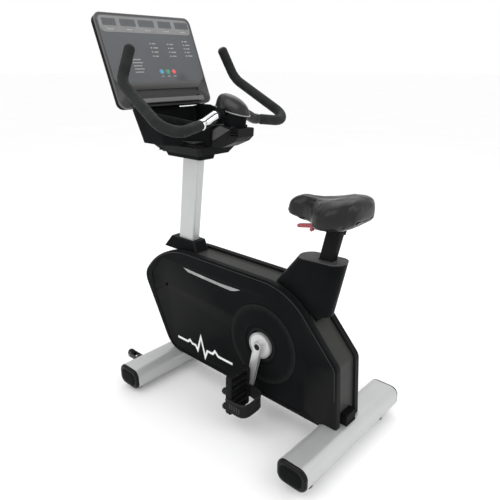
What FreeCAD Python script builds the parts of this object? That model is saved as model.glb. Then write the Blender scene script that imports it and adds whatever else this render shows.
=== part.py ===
import FreeCAD, Part
import math
import os
import re
import Sketcher
from FreeCAD import Placement, Rotation, Vector

# Upright exercise bike.  Millimetres, +Z up, +X to the rear, +Y to the rider's right.
# The origin is on the floor, under the middle of the bike.

DIMENSIONS = {
    # stabilizer bars: one rounded section, a long bar at each end
    "bar_width": 114, "bar_height": 84, "bar_corner": 30, "bar_wall": 3,
    "front_bar_x": -349, "front_bar_z": 58, "front_bar_half": 290,
    "rear_bar_x": 472, "rear_bar_z": 72, "rear_bar_half": 280, "cap_depth": 12,
    "foot_radius": 22, "foot_travel": 9, "front_foot_y": 262, "rear_foot_y": 222, "rear_foot_x": 482,
    "stud_radius": 5,
    # transport wheels
    "wheel_x": -463, "wheel_z": 76, "wheel_y": 200, "wheel_radius": 21, "wheel_width": 22,
    "wheel_pin": 4, "wheel_edge": 7, "bracket_plate": 3,
    # covers: outline corners and radii seen from the side
    "cover_half": 71, "cover_depth": 25, "cover_skin": 5, "cover_lip": 9,
    "cover_edge": 7,
    "cover_bottom": 95, "cover_top": 561, "toe_x": -355, "heel_x": 489,
    "tail_x": 474, "tail_z": 339, "shoulder_x": 275, "brow_x": -390, "nose_x": -513,
    "nose_z": 399, "toe_radius": 95, "heel_radius": 12, "tail_radius": 45,
    "shoulder_radius": 248, "brow_radius": 332, "nose_radius": 60,
    "spine_inset": 10, "spine_skin": 3, "panel_depth": 2, "panel_bottom": 112,
    "panel_top": 505, "panel_front": -458, "panel_toe": -345, "panel_rear": 356,
    # crank
    "crank_x": 164, "crank_z": 313, "crank_length": 170, "crank_lean": 13.3,
    "shroud_radius": 150, "shroud_ring": 70, "shroud_hole": 54, "hub_radius": 48,
    "hub_inner": 73, "arm_inner": 84, "arm_outer": 99, "arm_width": 36,
    "arm_corner": 13, "arm_edge": 3,
    "crank_axle": 10, "shell_radius": 26, "shell_half": 34, "bearing_width": 12,
    "running_gap": 0.05, "body_gap": 0.4,
    # pedals
    "pedal_inner": 106, "pedal_outer": 208, "pedal_toe": 80, "pedal_heel": 78,
    "pedal_half": 13, "pedal_tilt": 92, "pedal_pin": 7, "strap_height": 66,
    "strap_width": 55, "strap_low": 5, "strap_skin": 3,
    # flywheel, belt and brake
    "flywheel_x": -110, "flywheel_z": 300, "flywheel_radius": 120,
    "flywheel_width": 34, "flywheel_axle": 8, "pulley_radius": 105,
    "small_pulley": 18, "belt_y": 45, "belt_width": 11, "belt_skin": 3,
    "idler_x": 30, "idler_z": 221.9, "idler_radius": 15, "brake_angle": 125,
    "brake_reach": 152, "brake_pin": 5,
    # frame tubes
    "rail_bottom": 116, "rail_height": 40, "rail_half": 28, "rail_front": -345,
    "rail_rear": 500, "tube_wall": 3,
    # mast
    "mast_x": -286, "mast_z": 600, "mast_lean": 7.9, "mast_length": 82,
    "mast_width": 40, "mast_corner": 8, "mast_low": -150, "mast_high": 345,
    # boot
    "boot_top": 594, "boot_front": -361, "boot_rear": -226, "boot_half": 31,
    "boot_flare_front": -404, "boot_flare_rear": -208, "boot_flare_half": 36,
    # seat tower and post
    "post_x": 374, "post_z": 673, "post_lean": 13, "post_length": 50,
    "post_width": 34, "post_corner": 8, "post_low": -330, "post_high": 110,
    "sleeve_skin": 3, "tower_front": 289, "tower_rear": 446, "tower_top": 690,
    "tower_half": 40, "tower_slope": 3, "tower_x": 367, "tower_z": 672,
    "tower_base": 480, "tower_base_front": 124, "tower_base_rear": 401,
    "tower_skin": 3, "lid_thick": 4, "seat_up": 90, "seat_down": 70,
    # saddle
    "saddle_base": 799, "saddle_nose": 230, "saddle_tail": 493, "saddle_half": 115,
    # console
    "console_x": -365, "console_z": 1103, "console_lean": 21.6, "console_half": 217,
    "console_height": 340, "console_thick": 36, "console_corner": 26,
    "glass_low": 90, "glass_high": 333, "glass_half": 210, "glass_thick": 3,
    "key_z": 127, "key_radius": 8, "key_travel": 1,
    # handlebar
    "bar_tube": 12.7, "grip_radius": 18, "sensor_radius": 17,
    "bar_x": -46, "bar_z": 1098, "sensor_inner": 68, "grip_inner": 142,
    "stem_half": 38, "dome_x": -37, "dome_z": 1103, "dome_lean": 12, "dome_height": 45,
    "dome_length": 73, "dome_half": 35, "dome_skin": 3.5,
    # power inlet
    "inlet_x": -361, "inlet_z": 389, "inlet_radius": 12, "plug_radius": 2.8,
}

doc = FreeCAD.newDocument("ExerciseBike")
sheet = doc.addObject("Spreadsheet::Sheet", "Dimensions")
for row, (alias, number) in enumerate(DIMENSIONS.items(), start=1):
    sheet.set(f"A{row}", alias)
    sheet.set(f"B{row}", str(number))
    sheet.setAlias(f"B{row}", alias)
doc.recompute()

NODES = []


# ---------------------------------------------------------------- helpers

def size(alias):
    """Read one driving dimension from the sheet."""
    return float(sheet.get(alias))


def formula(text):
    """Prefix the aliases in an expression with the sheet's name."""
    def known(match):
        word = match.group()
        return "Dimensions." + word if word in DIMENSIONS else word
    return re.sub(r"[a-z_]+", known, str(text))


def number(text):
    """Work an expression out with the sheet's present values."""
    return float(sheet.evalExpression(formula(text)))


def bind(item, **properties):
    """Bind properties, such as Length, to expressions."""
    for name, text in properties.items():
        item.setExpression(name, formula(text))
    return item


def place(item, x="0", y="0", z="0", axis=(0, 1, 0), angle="0"):
    """Bind an object's placement to expressions."""
    item.Placement = Placement(Vector(), Rotation(Vector(*axis), 1))
    item.setExpression("Placement.Base.x", formula(x))
    item.setExpression("Placement.Base.y", formula(y))
    item.setExpression("Placement.Base.z", formula(z))
    item.setExpression("Placement.Rotation.Angle", formula(angle))
    return item


def keep(item, label):
    """Name an object as a sub-part that is written out."""
    item.Label = label
    NODES.append(item)
    return item


def new_body(name):
    return doc.addObject("PartDesign::Body", name)


def sketch_on(body, role, offset="0"):
    """Put a sketch on one of a body's own origin planes."""
    plane = next(part for part in body.Origin.OriginFeatures if part.Role == role)
    sketch = body.newObject("Sketcher::SketchObject", body.Name + "_sketch")
    sketch.AttachmentSupport = [(plane, "")]
    sketch.MapMode = "FlatFace"
    sketch.setExpression("AttachmentOffset.Base.z", formula(offset))
    return sketch


def drive(sketch, kind, *references, text):
    """Add a dimension to a sketch and bind it."""
    index = sketch.addConstraint(Sketcher.Constraint(kind, *references, number(text)))
    sketch.setExpression(f"Constraints[{index}]", formula(text))


def pin_point(sketch, element, which, x, y):
    """Fix a point of a sketch at bound coordinates."""
    drive(sketch, "DistanceX", -1, 1, element, which, text=x)
    drive(sketch, "DistanceY", -1, 1, element, which, text=y)


def circle(sketch, x, y, radius):
    centre = Vector(number(x), number(y), 0)
    index = sketch.addGeometry(Part.Circle(centre, Vector(0, 0, 1), number(radius)))
    pin_point(sketch, index, 3, x, y)
    drive(sketch, "Radius", index, text=radius)
    return sketch


def polygon(sketch, corners):
    """Draw a closed outline.  A corner is (x, y) or, rounded, (x, y, radius)."""
    places = [Vector(number(corner[0]), number(corner[1]), 0) for corner in corners]
    count = len(corners)
    starts = []
    ends = []
    arcs = []
    for i, corner in enumerate(corners):
        before = (places[i - 1] - places[i]).normalize()
        after = (places[(i + 1) % count] - places[i]).normalize()
        if len(corner) == 2:
            starts.append(places[i])
            ends.append(places[i])
            arcs.append(None)
            continue
        half = before.getAngle(after) / 2
        reach = number(corner[2]) / math.tan(half)
        middle = (before + after).normalize()
        centre = places[i] + middle * (number(corner[2]) / math.sin(half))
        ends.append(places[i] + before * reach)
        starts.append(places[i] + after * reach)
        nearest = centre - middle * number(corner[2])
        arcs.append(Part.Arc(ends[i], nearest, starts[i]))
    lines = []
    for i in range(count):
        line = Part.LineSegment(starts[i], ends[(i + 1) % count])
        lines.append(sketch.addGeometry(line))
    for i, corner in enumerate(corners):
        incoming = lines[i - 1]
        outgoing = lines[i]
        if arcs[i] is None:
            sketch.addConstraint(Sketcher.Constraint("Coincident", incoming, 2, outgoing, 1))
            pin_point(sketch, outgoing, 1, corner[0], corner[1])
            continue
        arc = sketch.addGeometry(arcs[i])
        joined_start = (arcs[i].StartPoint - ends[i]).Length < 1e-6
        first, last = (1, 2) if joined_start else (2, 1)
        sketch.addConstraint(Sketcher.Constraint("Tangent", incoming, 2, arc, first))
        sketch.addConstraint(Sketcher.Constraint("Tangent", arc, last, outgoing, 1))
        drive(sketch, "Radius", arc, text=corner[2])
        point = sketch.addGeometry(Part.Point(places[i]), True)
        sketch.addConstraint(Sketcher.Constraint("PointOnObject", point, 1, incoming))
        sketch.addConstraint(Sketcher.Constraint("PointOnObject", point, 1, outgoing))
        pin_point(sketch, point, 1, corner[0], corner[1])
    return sketch


def rectangle(sketch, left, right, low, high, radius=None):
    corners = [(left, low), (right, low), (right, high), (left, high)]
    if radius is not None:
        corners = [corner + (radius,) for corner in corners]
    return polygon(sketch, corners)


def feature(body, kind, sketch, length, symmetric=False, backwards=False):
    item = body.newObject("PartDesign::" + kind, body.Name + "_" + kind.lower())
    item.Profile = sketch
    item.setExpression("Length", formula(length))
    item.SideType = "Symmetric" if symmetric else "One side"
    item.Reversed = backwards
    doc.recompute()
    return item


def pad(body, sketch, length, **options):
    return feature(body, "Pad", sketch, length, **options)


def pocket(body, sketch, length, **options):
    """Cut a sketch out of its body, and make sure that something was cut."""
    before = body.Shape.Volume
    item = feature(body, "Pocket", sketch, length, **options)
    if body.Shape.Volume > before - 1e-6:
        item.Reversed = not item.Reversed
        doc.recompute()
    if body.Shape.Volume > before - 1e-6:
        raise ValueError(body.Name + " has a pocket that cuts nothing")
    return item


def round_edges(body, radius, wanted, chamfer=False):
    """Fillet or chamfer the edges of a body's tip that wanted() accepts."""
    base = body.Tip
    names = [f"Edge{i}" for i, edge in enumerate(base.Shape.Edges, 1) if wanted(edge)]
    kind = "Chamfer" if chamfer else "Fillet"
    item = body.newObject("PartDesign::" + kind, body.Name + "_edges")
    item.Base = (base, names)
    item.setExpression("Size" if chamfer else "Radius", formula(radius))
    doc.recompute()
    return item


def edge_on(axis, value, tolerance=0.01):
    """Accept edges that lie wholly in the plane where the axis has this value."""
    def check(edge):
        box = edge.BoundBox
        low = getattr(box, axis + "Min")
        high = getattr(box, axis + "Max")
        return abs(low - value) < tolerance and abs(high - value) < tolerance
    return check


def revolve(body, sketch, angle=360):
    """Turn a sketch about its own vertical axis."""
    item = body.newObject("PartDesign::Revolution", body.Name + "_turned")
    item.Profile = sketch
    item.ReferenceAxis = (sketch, ["V_Axis"])
    item.Angle = angle
    doc.recompute()
    return item


def box(name, x, y, z, where=("0", "0", "0")):
    """A block whose size and low corner are bound."""
    item = doc.addObject("Part::Box", name)
    bind(item, Length=x, Width=y, Height=z)
    return place(item, *where)


def cylinder(name, radius, length, where, axis="y"):
    """A round bar that starts at a point and runs along +X, +Y or +Z."""
    item = doc.addObject("Part::Cylinder", name)
    bind(item, Radius=radius, Height=length)
    turn = {"x": ((0, 1, 0), "90"), "y": ((1, 0, 0), "-90"), "z": ((0, 0, 1), "0")}
    return place(item, *where, axis=turn[axis][0], angle=turn[axis][1])


def cut(name, base, *tools):
    """Take tools away from a base, one at a time."""
    for tool in tools:
        item = doc.addObject("Part::Cut", name)
        item.Base = base
        item.Tool = tool
        base = item
    doc.recompute()
    return base


def fuse(name, *shapes):
    item = doc.addObject("Part::MultiFuse", name)
    item.Shapes = list(shapes)
    item.Refine = True
    doc.recompute()
    return item


def group(name, *shapes):
    """Separate solids that share one node."""
    item = doc.addObject("Part::Compound", name)
    item.Links = list(shapes)
    doc.recompute()
    return item


def mirror(name, source):
    """The same piece on the other side of the bike."""
    item = doc.addObject("Part::Mirroring", name)
    item.Source = source
    item.Normal = Vector(0, 1, 0)
    doc.recompute()
    return item


def ring(name, outer, inner, length, where, axis="y"):
    """A round sleeve."""
    solid = cylinder(name + "_outside", outer, length, where, axis)
    bore = cylinder(name + "_bore", inner, length, where, axis)
    return cut(name, solid, bore)


def side_plate(name, corners, start, length, holes=()):
    """A plate seen from the side: from y = -start, running towards -Y."""
    body = new_body(name)
    pad(body, polygon(sketch_on(body, "XZ_Plane", start), corners), length)
    for x, z, radius in holes:
        hole = circle(sketch_on(body, "XZ_Plane", start), x, z, radius)
        pocket(body, hole, length)
    return body


def frustum(name, low, high):
    """A loft between two level rounded rectangles: (z, x0, x1, half y, radius)."""
    sketches = []
    for z, left, right, half, radius in (low, high):
        sketch = doc.addObject("Sketcher::SketchObject", name + "_section")
        rectangle(sketch, left, right, f"-({half})", half, radius)
        place(sketch, "0", "0", z)
        sketches.append(sketch)
    item = doc.addObject("Part::Loft", name)
    item.Sections = sketches
    item.Solid = True
    item.Ruled = True
    doc.recompute()
    return item


def tube_block(name, length, width, corner, low, high, x, z, lean):
    """A rounded bar that leans back about Y, from low to high along itself."""
    body = new_body(name)
    sketch = sketch_on(body, "XY_Plane", low)
    rectangle(sketch, f"-({length}) / 2", f"({length}) / 2",
              f"-({width}) / 2", f"({width}) / 2", corner)
    pad(body, sketch, f"{high} - ({low})")
    return place(body, x, "0", z, angle=lean)


def smooth_path(points, radii):
    """A wire of straight runs joined by tangent arcs at the inner points."""
    places = [Vector(*point) for point in points]
    edges = []
    here = places[0]
    for i in range(1, len(places) - 1):
        back = (places[i - 1] - places[i]).normalize()
        on = (places[i + 1] - places[i]).normalize()
        half = back.getAngle(on) / 2
        reach = radii[i - 1] / math.tan(half)
        middle = (back + on).normalize()
        nearest = places[i] + middle * (radii[i - 1] / math.sin(half) - radii[i - 1])
        first = places[i] + back * reach
        last = places[i] + on * reach
        edges.append(Part.LineSegment(here, first).toShape())
        edges.append(Part.Arc(first, nearest, last).toShape())
        here = last
    edges.append(Part.LineSegment(here, places[-1]).toShape())
    return Part.Wire(edges)


def pipe(path, radius):
    """A round bar along a path."""
    start = path.Edges[0]
    point = start.valueAt(start.FirstParameter)
    direction = start.tangentAt(start.FirstParameter)
    section = Part.Wire(Part.Circle(point, direction, radius).toShape())
    return path.makePipeShell([section], True, False)


def shaped(name, shape):
    """A feature whose shape is set in code."""
    item = doc.addObject("Part::Feature", name)
    item.Shape = shape
    return item


# ---------------------------------------------------------------- base

def bar_corners(x, z, grow="0"):
    half = f"bar_width / 2 + ({grow})"
    rise = f"bar_height / 2 + ({grow})"
    radius = f"bar_corner + ({grow})"
    return (f"{x} - ({half})", f"{x} + {half}", f"{z} - ({rise})", f"{z} + {rise}", radius)


def stabilizer(name, x, z, half, foot_x, foot_y, gap):
    """A hollow rounded bar across the bike, drilled for its two feet."""
    body = new_body(name + "_bar")
    outside = rectangle(sketch_on(body, "XZ_Plane"), *bar_corners(x, z))
    pad(body, outside, f"2 * {half}", symmetric=True)
    inside = rectangle(sketch_on(body, "XZ_Plane"), *bar_corners(x, z, "-bar_wall"))
    pocket(body, inside, f"2 * {half}", symmetric=True)
    drills = []
    for y in (f"-{foot_y}", foot_y):
        drills.append(cylinder("foot_hole", f"stud_radius + {gap}", f"{z}", (foot_x, y, "0"), "z"))
    keep(cut(name + "_drilled", body, *drills), name)


def end_cap(name, x, z, half):
    """A domed cap with a spigot inside the left end of a bar."""
    body = new_body(name)
    outside = rectangle(sketch_on(body, "XZ_Plane", half), *bar_corners(x, z))
    pad(body, outside, "cap_depth")
    face = -size(half) - size("cap_depth")
    round_edges(body, "cap_depth - 2", edge_on("Y", face))
    inside = rectangle(sketch_on(body, "XZ_Plane", half), *bar_corners(x, z, "-bar_wall"))
    pad(body, inside, "cap_depth", backwards=True)
    return body


def base():
    stabilizer("front_stabilizer", "front_bar_x", "front_bar_z", "front_bar_half",
               "front_bar_x", "front_foot_y", "0")
    stabilizer("rear_stabilizer", "rear_bar_x", "rear_bar_z", "rear_bar_half",
               "rear_foot_x", "rear_foot_y", "body_gap")
    front = end_cap("front_cap", "front_bar_x", "front_bar_z", "front_bar_half")
    rear = end_cap("rear_cap", "rear_bar_x", "rear_bar_z", "rear_bar_half")
    caps = group("caps", front, mirror("front_cap_right", front),
                 rear, mirror("rear_cap_right", rear))
    keep(caps, "end_caps")
    front_foot = foot("front_foot", "front_bar_x", "-front_foot_y", "front_bar_z", "0.5")
    keep(group("front_pair", front_foot, mirror("front_foot_right", front_foot)), "front_feet")
    rear_foot = foot("rear_foot", "rear_foot_x", "-rear_foot_y", "rear_bar_z",
                     "foot_travel + 0.5")
    keep(rear_foot, "left_levelling_foot")
    keep(mirror("rear_foot_right", rear_foot), "right_levelling_foot")


def foot(name, x, y, bar_z, gap):
    """A round pad on a threaded stud.  The stud stands inside the hollow bar."""
    under = f"({bar_z} - bar_height / 2)"
    low = cylinder(name + "_pad", "foot_radius", f"{under} - ({gap})", (x, y, "0"), "z")
    stud = cylinder(name + "_stud", "stud_radius", f"{under} + 18", (x, y, "0"), "z")
    return fuse(name, low, stud)


def transport_wheels():
    """Two small wheels on brackets ahead of the front bar."""
    gap = "(wheel_width / 2 + 1)"
    reach = "(front_bar_x - bar_width / 2 + 12)"
    cheeks = []
    for side, y in (("inner", f"-wheel_y + {gap}"),
                    ("outer", f"-wheel_y - {gap} - bracket_plate")):
        cheeks.append(box("cheek_" + side, f"{reach} - wheel_x + 9", "bracket_plate", "18",
                          ("wheel_x - 9", y, "wheel_z - 9")))
    web = box("bracket_web", "24", f"2 * {gap} + 2 * bracket_plate", "18",
              (f"{reach} - 24", f"-wheel_y - {gap} - bracket_plate", "wheel_z - 9"))
    bar = new_body("bracket_seat")
    pad(bar, rectangle(sketch_on(bar, "XZ_Plane"), *bar_corners("front_bar_x", "front_bar_z")),
        "2 * front_bar_half", symmetric=True)
    hole = cylinder("bracket_hole", "wheel_pin", "60", ("wheel_x", "-wheel_y - 30", "wheel_z"))
    rim = cylinder("bracket_rim", "wheel_radius + 1.5", f"2 * {gap}",
                   ("wheel_x", f"-wheel_y - {gap}", "wheel_z"))
    holder = cut("bracket_cut", fuse("bracket", *cheeks, web), bar, hole, rim)
    keep(group("brackets", holder, mirror("bracket_right", holder)), "wheel_brackets")
    wheel = new_body("wheel")
    pad(wheel, circle(sketch_on(wheel, "XZ_Plane", "wheel_y"), "wheel_x", "wheel_z",
                      "wheel_radius"), "wheel_width", symmetric=True)
    middle = -size("wheel_y")
    half = size("wheel_width") / 2
    inner = edge_on("Y", middle + half)
    outer = edge_on("Y", middle - half)
    round_edges(wheel, "wheel_edge", lambda edge: inner(edge) or outer(edge))
    pocket(wheel, circle(sketch_on(wheel, "XZ_Plane", "wheel_y"), "wheel_x", "wheel_z",
                         "wheel_pin + running_gap"), "2 * wheel_width", symmetric=True)
    keep(wheel, "left_transport_wheel")
    keep(mirror("wheel_right", wheel), "right_transport_wheel")


# ---------------------------------------------------------------- frame

def axis_box(name, length, width, low, high, x, z, lean):
    """A sharp block about a leaning axis, used as a tool or a tube."""
    item = box(name, length, width, f"{high} - ({low})")
    run = f"sin({lean})"
    rise = f"cos({lean})"
    place(item,
          f"{x} + ({low}) * {run} - ({length}) / 2 * {rise}",
          f"-({width}) / 2",
          f"{z} + ({low}) * {rise} + ({length}) / 2 * {run}",
          angle=lean)
    return item


def frame():
    """The welded frame: bottom rail, mast stub, seat tube, crank shell and brackets."""
    rail = box("rail", "rail_rear - rail_front", "2 * rail_half", "rail_height",
               ("rail_front", "-rail_half", "rail_bottom"))
    front_pad = box("front_saddle", "60", "2 * rail_half", "20",
                    ("front_bar_x - 30", "-rail_half",
                     "front_bar_z + bar_height / 2"))
    rear_pad = box("rear_saddle", "60", "2 * rail_half", "6",
                   ("rear_bar_x - 30", "-rail_half", "rear_bar_z + bar_height / 2"))
    stub = axis_box("mast_stub", "mast_length - 8", "mast_width - 8", "-470", "60",
                    "mast_x", "mast_z", "mast_lean")
    seat = axis_box("seat_tube", "post_length + 14", "post_width + 14", "-540", "-30",
                    "post_x", "post_z", "post_lean")
    shell = cylinder("crank_shell", "shell_radius", "2 * shell_half",
                     ("crank_x", "-shell_half", "crank_z"))
    post = box("crank_post", "44", "40", "crank_z - rail_bottom",
               ("crank_x - 22", "-20", "rail_bottom"))
    brace = box("crank_brace", "110", "40", "30", ("crank_x", "-20", "crank_z - 15"))
    parts = [rail, front_pad, rear_pad, stub, seat, shell, post, brace]
    for side, y in (("left", "-62"), ("right", "24")):
        parts.append(box("dropout_" + side, "44", "6", "flywheel_z + 18 - rail_bottom",
                         ("flywheel_x - 22", y, "rail_bottom")))
    parts.append(box("dropout_foot", "44", "62 - rail_half", "6",
                     ("flywheel_x - 22", "-62", "rail_bottom")))
    for side, y in (("left", "-16"), ("right", "12")):
        parts.append(box("brake_ear_" + side, "98", "4", "22",
                         (f"{BRAKE_X} - 88", y, f"{BRAKE_Z} - 11")))
    parts.append(cylinder("brake_pin", "brake_pin", "32", (BRAKE_X, "-16", BRAKE_Z)))
    solid = fuse("frame_tubes", *parts)
    tools = [
        axis_box("stub_inside", "mast_length - 14", "mast_width - 14", "-440", "61",
                 "mast_x", "mast_z", "mast_lean"),
        axis_box("seat_inside", "post_length + 8", "post_width + 8", "-500", "-29",
                 "post_x", "post_z", "post_lean"),
        cylinder("shell_bore", "crank_axle + 11", "2 * shell_half + 2",
                 ("crank_x", "-shell_half - 1", "crank_z")),
        cylinder("flywheel_hole", "flywheel_axle", "110", ("flywheel_x", "-66", "flywheel_z")),
        box("rail_inside", "500", "2 * rail_half - 6", "rail_height - 6",
            ("flywheel_x - 150", "-rail_half + 3", "rail_bottom + 3")),
        box("stub_toe", "75", "60", "62", ("rail_front - 72", "-30", "rail_bottom + 6")),
    ]
    keep(cut("frame", solid, *tools), "main_frame")
    axle = cylinder("fixed_axle", "flywheel_axle", "100", ("flywheel_x", "-64", "flywheel_z"))
    keep(axle, "flywheel_axle")


BRAKE_X = "(flywheel_x + brake_reach * cos(brake_angle))"
BRAKE_Z = "(flywheel_z + brake_reach * sin(brake_angle))"


def mast():
    """The rectangular mast, which slides over the frame's stub."""
    tube = tube_block("mast_tube", "mast_length", "mast_width", "mast_corner",
                      "mast_low", "mast_high", "mast_x", "mast_z", "mast_lean")
    inside = axis_box("mast_inside", "mast_length - 7", "mast_width - 7",
                      "mast_low - 1", "mast_high - 6", "mast_x", "mast_z", "mast_lean")
    keep(cut("mast", tube, inside), "console_mast")
    low = ("boot_top - 50", "boot_flare_front", "boot_flare_rear", "boot_flare_half", "6")
    high = ("boot_top", "boot_front", "boot_rear", "boot_half", "5")
    solid = frustum("boot_outside", low, high)
    low = ("boot_top - 54", "boot_flare_front + 3", "boot_flare_rear - 3",
           "boot_flare_half - 3", "4")
    high = ("boot_top - 4", "boot_front + 3", "boot_rear - 3", "boot_half - 3", "4")
    hollow = frustum("boot_inside", low, high)
    hole = axis_box("boot_hole", "mast_length + 1", "mast_width + 1", "-90", "60",
                    "mast_x", "mast_z", "mast_lean")
    under = outline_block("boot_seat", "-spine_inset + 0.3", "cover_half")
    keep(cut("boot", solid, hollow, hole, under), "mast_boot")


# ---------------------------------------------------------------- covers

def cover_outline():
    """The covers' side outline, at y = 0."""
    sketch = doc.addObject("Sketcher::SketchObject", "cover_outline")
    polygon(sketch, [
        ("toe_x", "cover_bottom", "toe_radius"),
        ("heel_x", "cover_bottom", "heel_radius"),
        ("tail_x", "tail_z", "tail_radius"),
        ("shoulder_x", "cover_top", "shoulder_radius"),
        ("brow_x", "cover_top", "brow_radius"),
        ("nose_x", "nose_z", "nose_radius"),
    ])
    return place(sketch, axis=(1, 0, 0), angle="90")


OUTLINE = cover_outline()
doc.recompute()


def outline_block(name, grow, half, start=None):
    """The covers' outline, offset and extruded across the bike."""
    shape = doc.addObject("Part::Offset2D", name + "_offset")
    shape.Source = OUTLINE
    bind(shape, Value=grow)
    if number(grow) == 0:
        shape = OUTLINE
    item = doc.addObject("Part::Extrusion", name)
    item.Base = shape
    item.DirMode = "Custom"
    item.Dir = Vector(0, -1, 0)
    item.Solid = True
    item.setExpression("LengthFwd", formula(half))
    back = half if start is None else f"-({start})"
    item.setExpression("LengthRev", formula(back))
    doc.recompute()
    return item


def bar_space(name, x, z):
    """Room for a stabilizer bar where it passes through a cover."""
    body = new_body(name)
    sketch = rectangle(sketch_on(body, "XZ_Plane"), *bar_corners(x, z, "1.5"))
    pad(body, sketch, "400", symmetric=True)
    return body


def covers():
    bars = (bar_space("front_space", "front_bar_x", "front_bar_z"),
            bar_space("rear_space", "rear_bar_x", "rear_bar_z"))
    skin = outline_block("cover_outside", "0", "cover_half", "cover_half - cover_depth")
    edge = edge_on("Y", -size("cover_half"))
    soft = doc.addObject("Part::Fillet", "cover_soft")
    soft.Base = skin
    radius = size("cover_edge")
    soft.Edges = [(i, radius, radius) for i, e in enumerate(skin.Shape.Edges, 1) if edge(e)]
    hollow = outline_block("cover_inside", "-cover_lip", "cover_half - cover_skin", "0")
    panel = side_plate("cover_panel", [
        ("panel_toe", "panel_bottom", 45), ("panel_rear", "panel_bottom", 30),
        ("panel_rear", "panel_top", 190), ("panel_front + 70", "panel_top", 40),
        ("panel_front", "panel_top - 90", 40), ("panel_front + 12", "panel_top - 165", 60),
    ], "cover_half - panel_depth", "20")
    crank_hole = cylinder("crank_hole", "shroud_radius - 12", "60",
                          ("crank_x", "-cover_half - 10", "crank_z"))
    seat = cylinder("shroud_seat", "shroud_radius + 0.5", "20",
                    ("crank_x", "-cover_half - 20 + 3.5", "crank_z"))
    plug = cylinder("inlet_hole", "inlet_radius", "40", ("inlet_x", "-cover_half - 10", "inlet_z"))
    plain = cut("cover_plain", soft, hollow, panel, crank_hole, seat, *bars)
    left = cut("cover_left", plain, plug)
    keep(left, "left_side_cover")
    keep(mirror("cover_right", plain), "right_side_cover")
    inset = "-spine_inset"
    band = outline_block("band_outside", inset, "cover_half - cover_skin - 1")
    inner = outline_block("band_inside", f"{inset} - spine_skin", "cover_half + 5")
    stub = axis_box("band_mast", "mast_length + 3", "mast_width + 3", "-170", "50",
                    "mast_x", "mast_z", "mast_lean")
    seat = axis_box("band_seat", "post_length + 17", "post_width + 17", "-260", "0",
                    "post_x", "post_z", "post_lean")
    rail = box("band_rail", "rail_rear - rail_front + 6", "2 * rail_half + 3",
               "rail_height + 3", ("rail_front - 3", "-rail_half - 1.5", "rail_bottom - 1.5"))
    pads = [box(f"band_{bar}_pad", "63", "2 * rail_half + 3", depth,
                (f"{bar}_bar_x - 31.5", "-rail_half - 1.5", f"{bar}_bar_z + bar_height / 2 - 2"))
            for bar, depth in (("front", "24"), ("rear", "10"))]
    keep(cut("band", band, inner, stub, seat, rail, *pads, *bars), "spine_cover")
    shroud_profile = new_body("shroud")
    sketch = sketch_on(shroud_profile, "XY_Plane")
    face = "cover_half - 3"
    polygon(sketch, [
        ("shroud_hole", face), ("shroud_radius", face),
        ("shroud_radius", "cover_half + 0.5"), ("shroud_ring + 5", "cover_half + 6"),
        ("shroud_ring + 2", "cover_half + 3"), ("shroud_ring - 4", "cover_half + 3"),
        ("shroud_ring - 6", "cover_half + 5"), ("shroud_hole", "cover_half + 5"),
    ])
    revolve(shroud_profile, sketch)
    place(shroud_profile, "crank_x", "0", "crank_z", axis=(1, 0, 0), angle="180")
    keep(group("shrouds", shroud_profile, mirror("shroud_right", shroud_profile)),
         "crank_shrouds")
    inlet()


def inlet():
    """The power socket in the left cover: a recessed cup with a round jack."""
    flange = cylinder("inlet_cup", "inlet_radius - 0.2", "14",
                      ("inlet_x", "-cover_half + panel_depth + 1", "inlet_z"))
    well = cylinder("inlet_well", "inlet_radius - 3", "6",
                    ("inlet_x", "-cover_half + panel_depth", "inlet_z"))
    jack = cylinder("inlet_jack", "plug_radius", "9",
                    ("inlet_x", "-cover_half + panel_depth + 6", "inlet_z"))
    keep(cut("inlet", flange, well, jack), "power_inlet")


# ---------------------------------------------------------------- seat

def tower_loft(inset):
    """The tower's tapering oval body, shrunk by an inset."""
    pair = []
    for level, front, rear in (("tower_base", "tower_base_front", "tower_base_rear"),
                               ("tower_top", "tower_front", "tower_rear")):
        sketch = doc.addObject("Sketcher::SketchObject", "tower_section")
        half = f"(tower_half - {inset})"
        rectangle(sketch, f"{front} + {inset}", f"{rear} - {inset}",
                  f"-{half}", half, f"{half} - 0.5")
        pair.append(place(sketch, "0", "0", level))
    loft = doc.addObject("Part::Loft", "tower_loft")
    loft.Sections = pair
    loft.Solid = True
    loft.Ruled = True
    return loft


def tower_slab(name, drop, thick):
    """A slab whose underside is the tower's sloping top, lowered by a drop."""
    slab = box(name, "600", "200", thick)
    return place(slab, "tower_x - 300", "-100",
                 f"tower_z - {drop} - 300 * tan(tower_slope)", angle="-tower_slope")


def tower():
    """The housing that rises between the covers round the seat tube, and its lid."""
    outside = tower_loft("0")
    under = outline_block("tower_seat", "-spine_inset + 0.3", "cover_half")
    above = tower_slab("tower_above", "lid_thick", "200")
    keep(cut("tower", outside, tower_loft("tower_skin"), above, under), "seat_tower")
    lid = doc.addObject("Part::Common", "lid")
    lid.Base = outside
    lid.Tool = tower_slab("lid_slab", "lid_thick", "lid_thick")
    hole = axis_box("lid_hole", "post_length + 1.6", "post_width + 1.6", "-60", "60",
                    "post_x", "post_z", "post_lean")
    keep(cut("tower_lid", lid, hole), "tower_cap")


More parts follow.
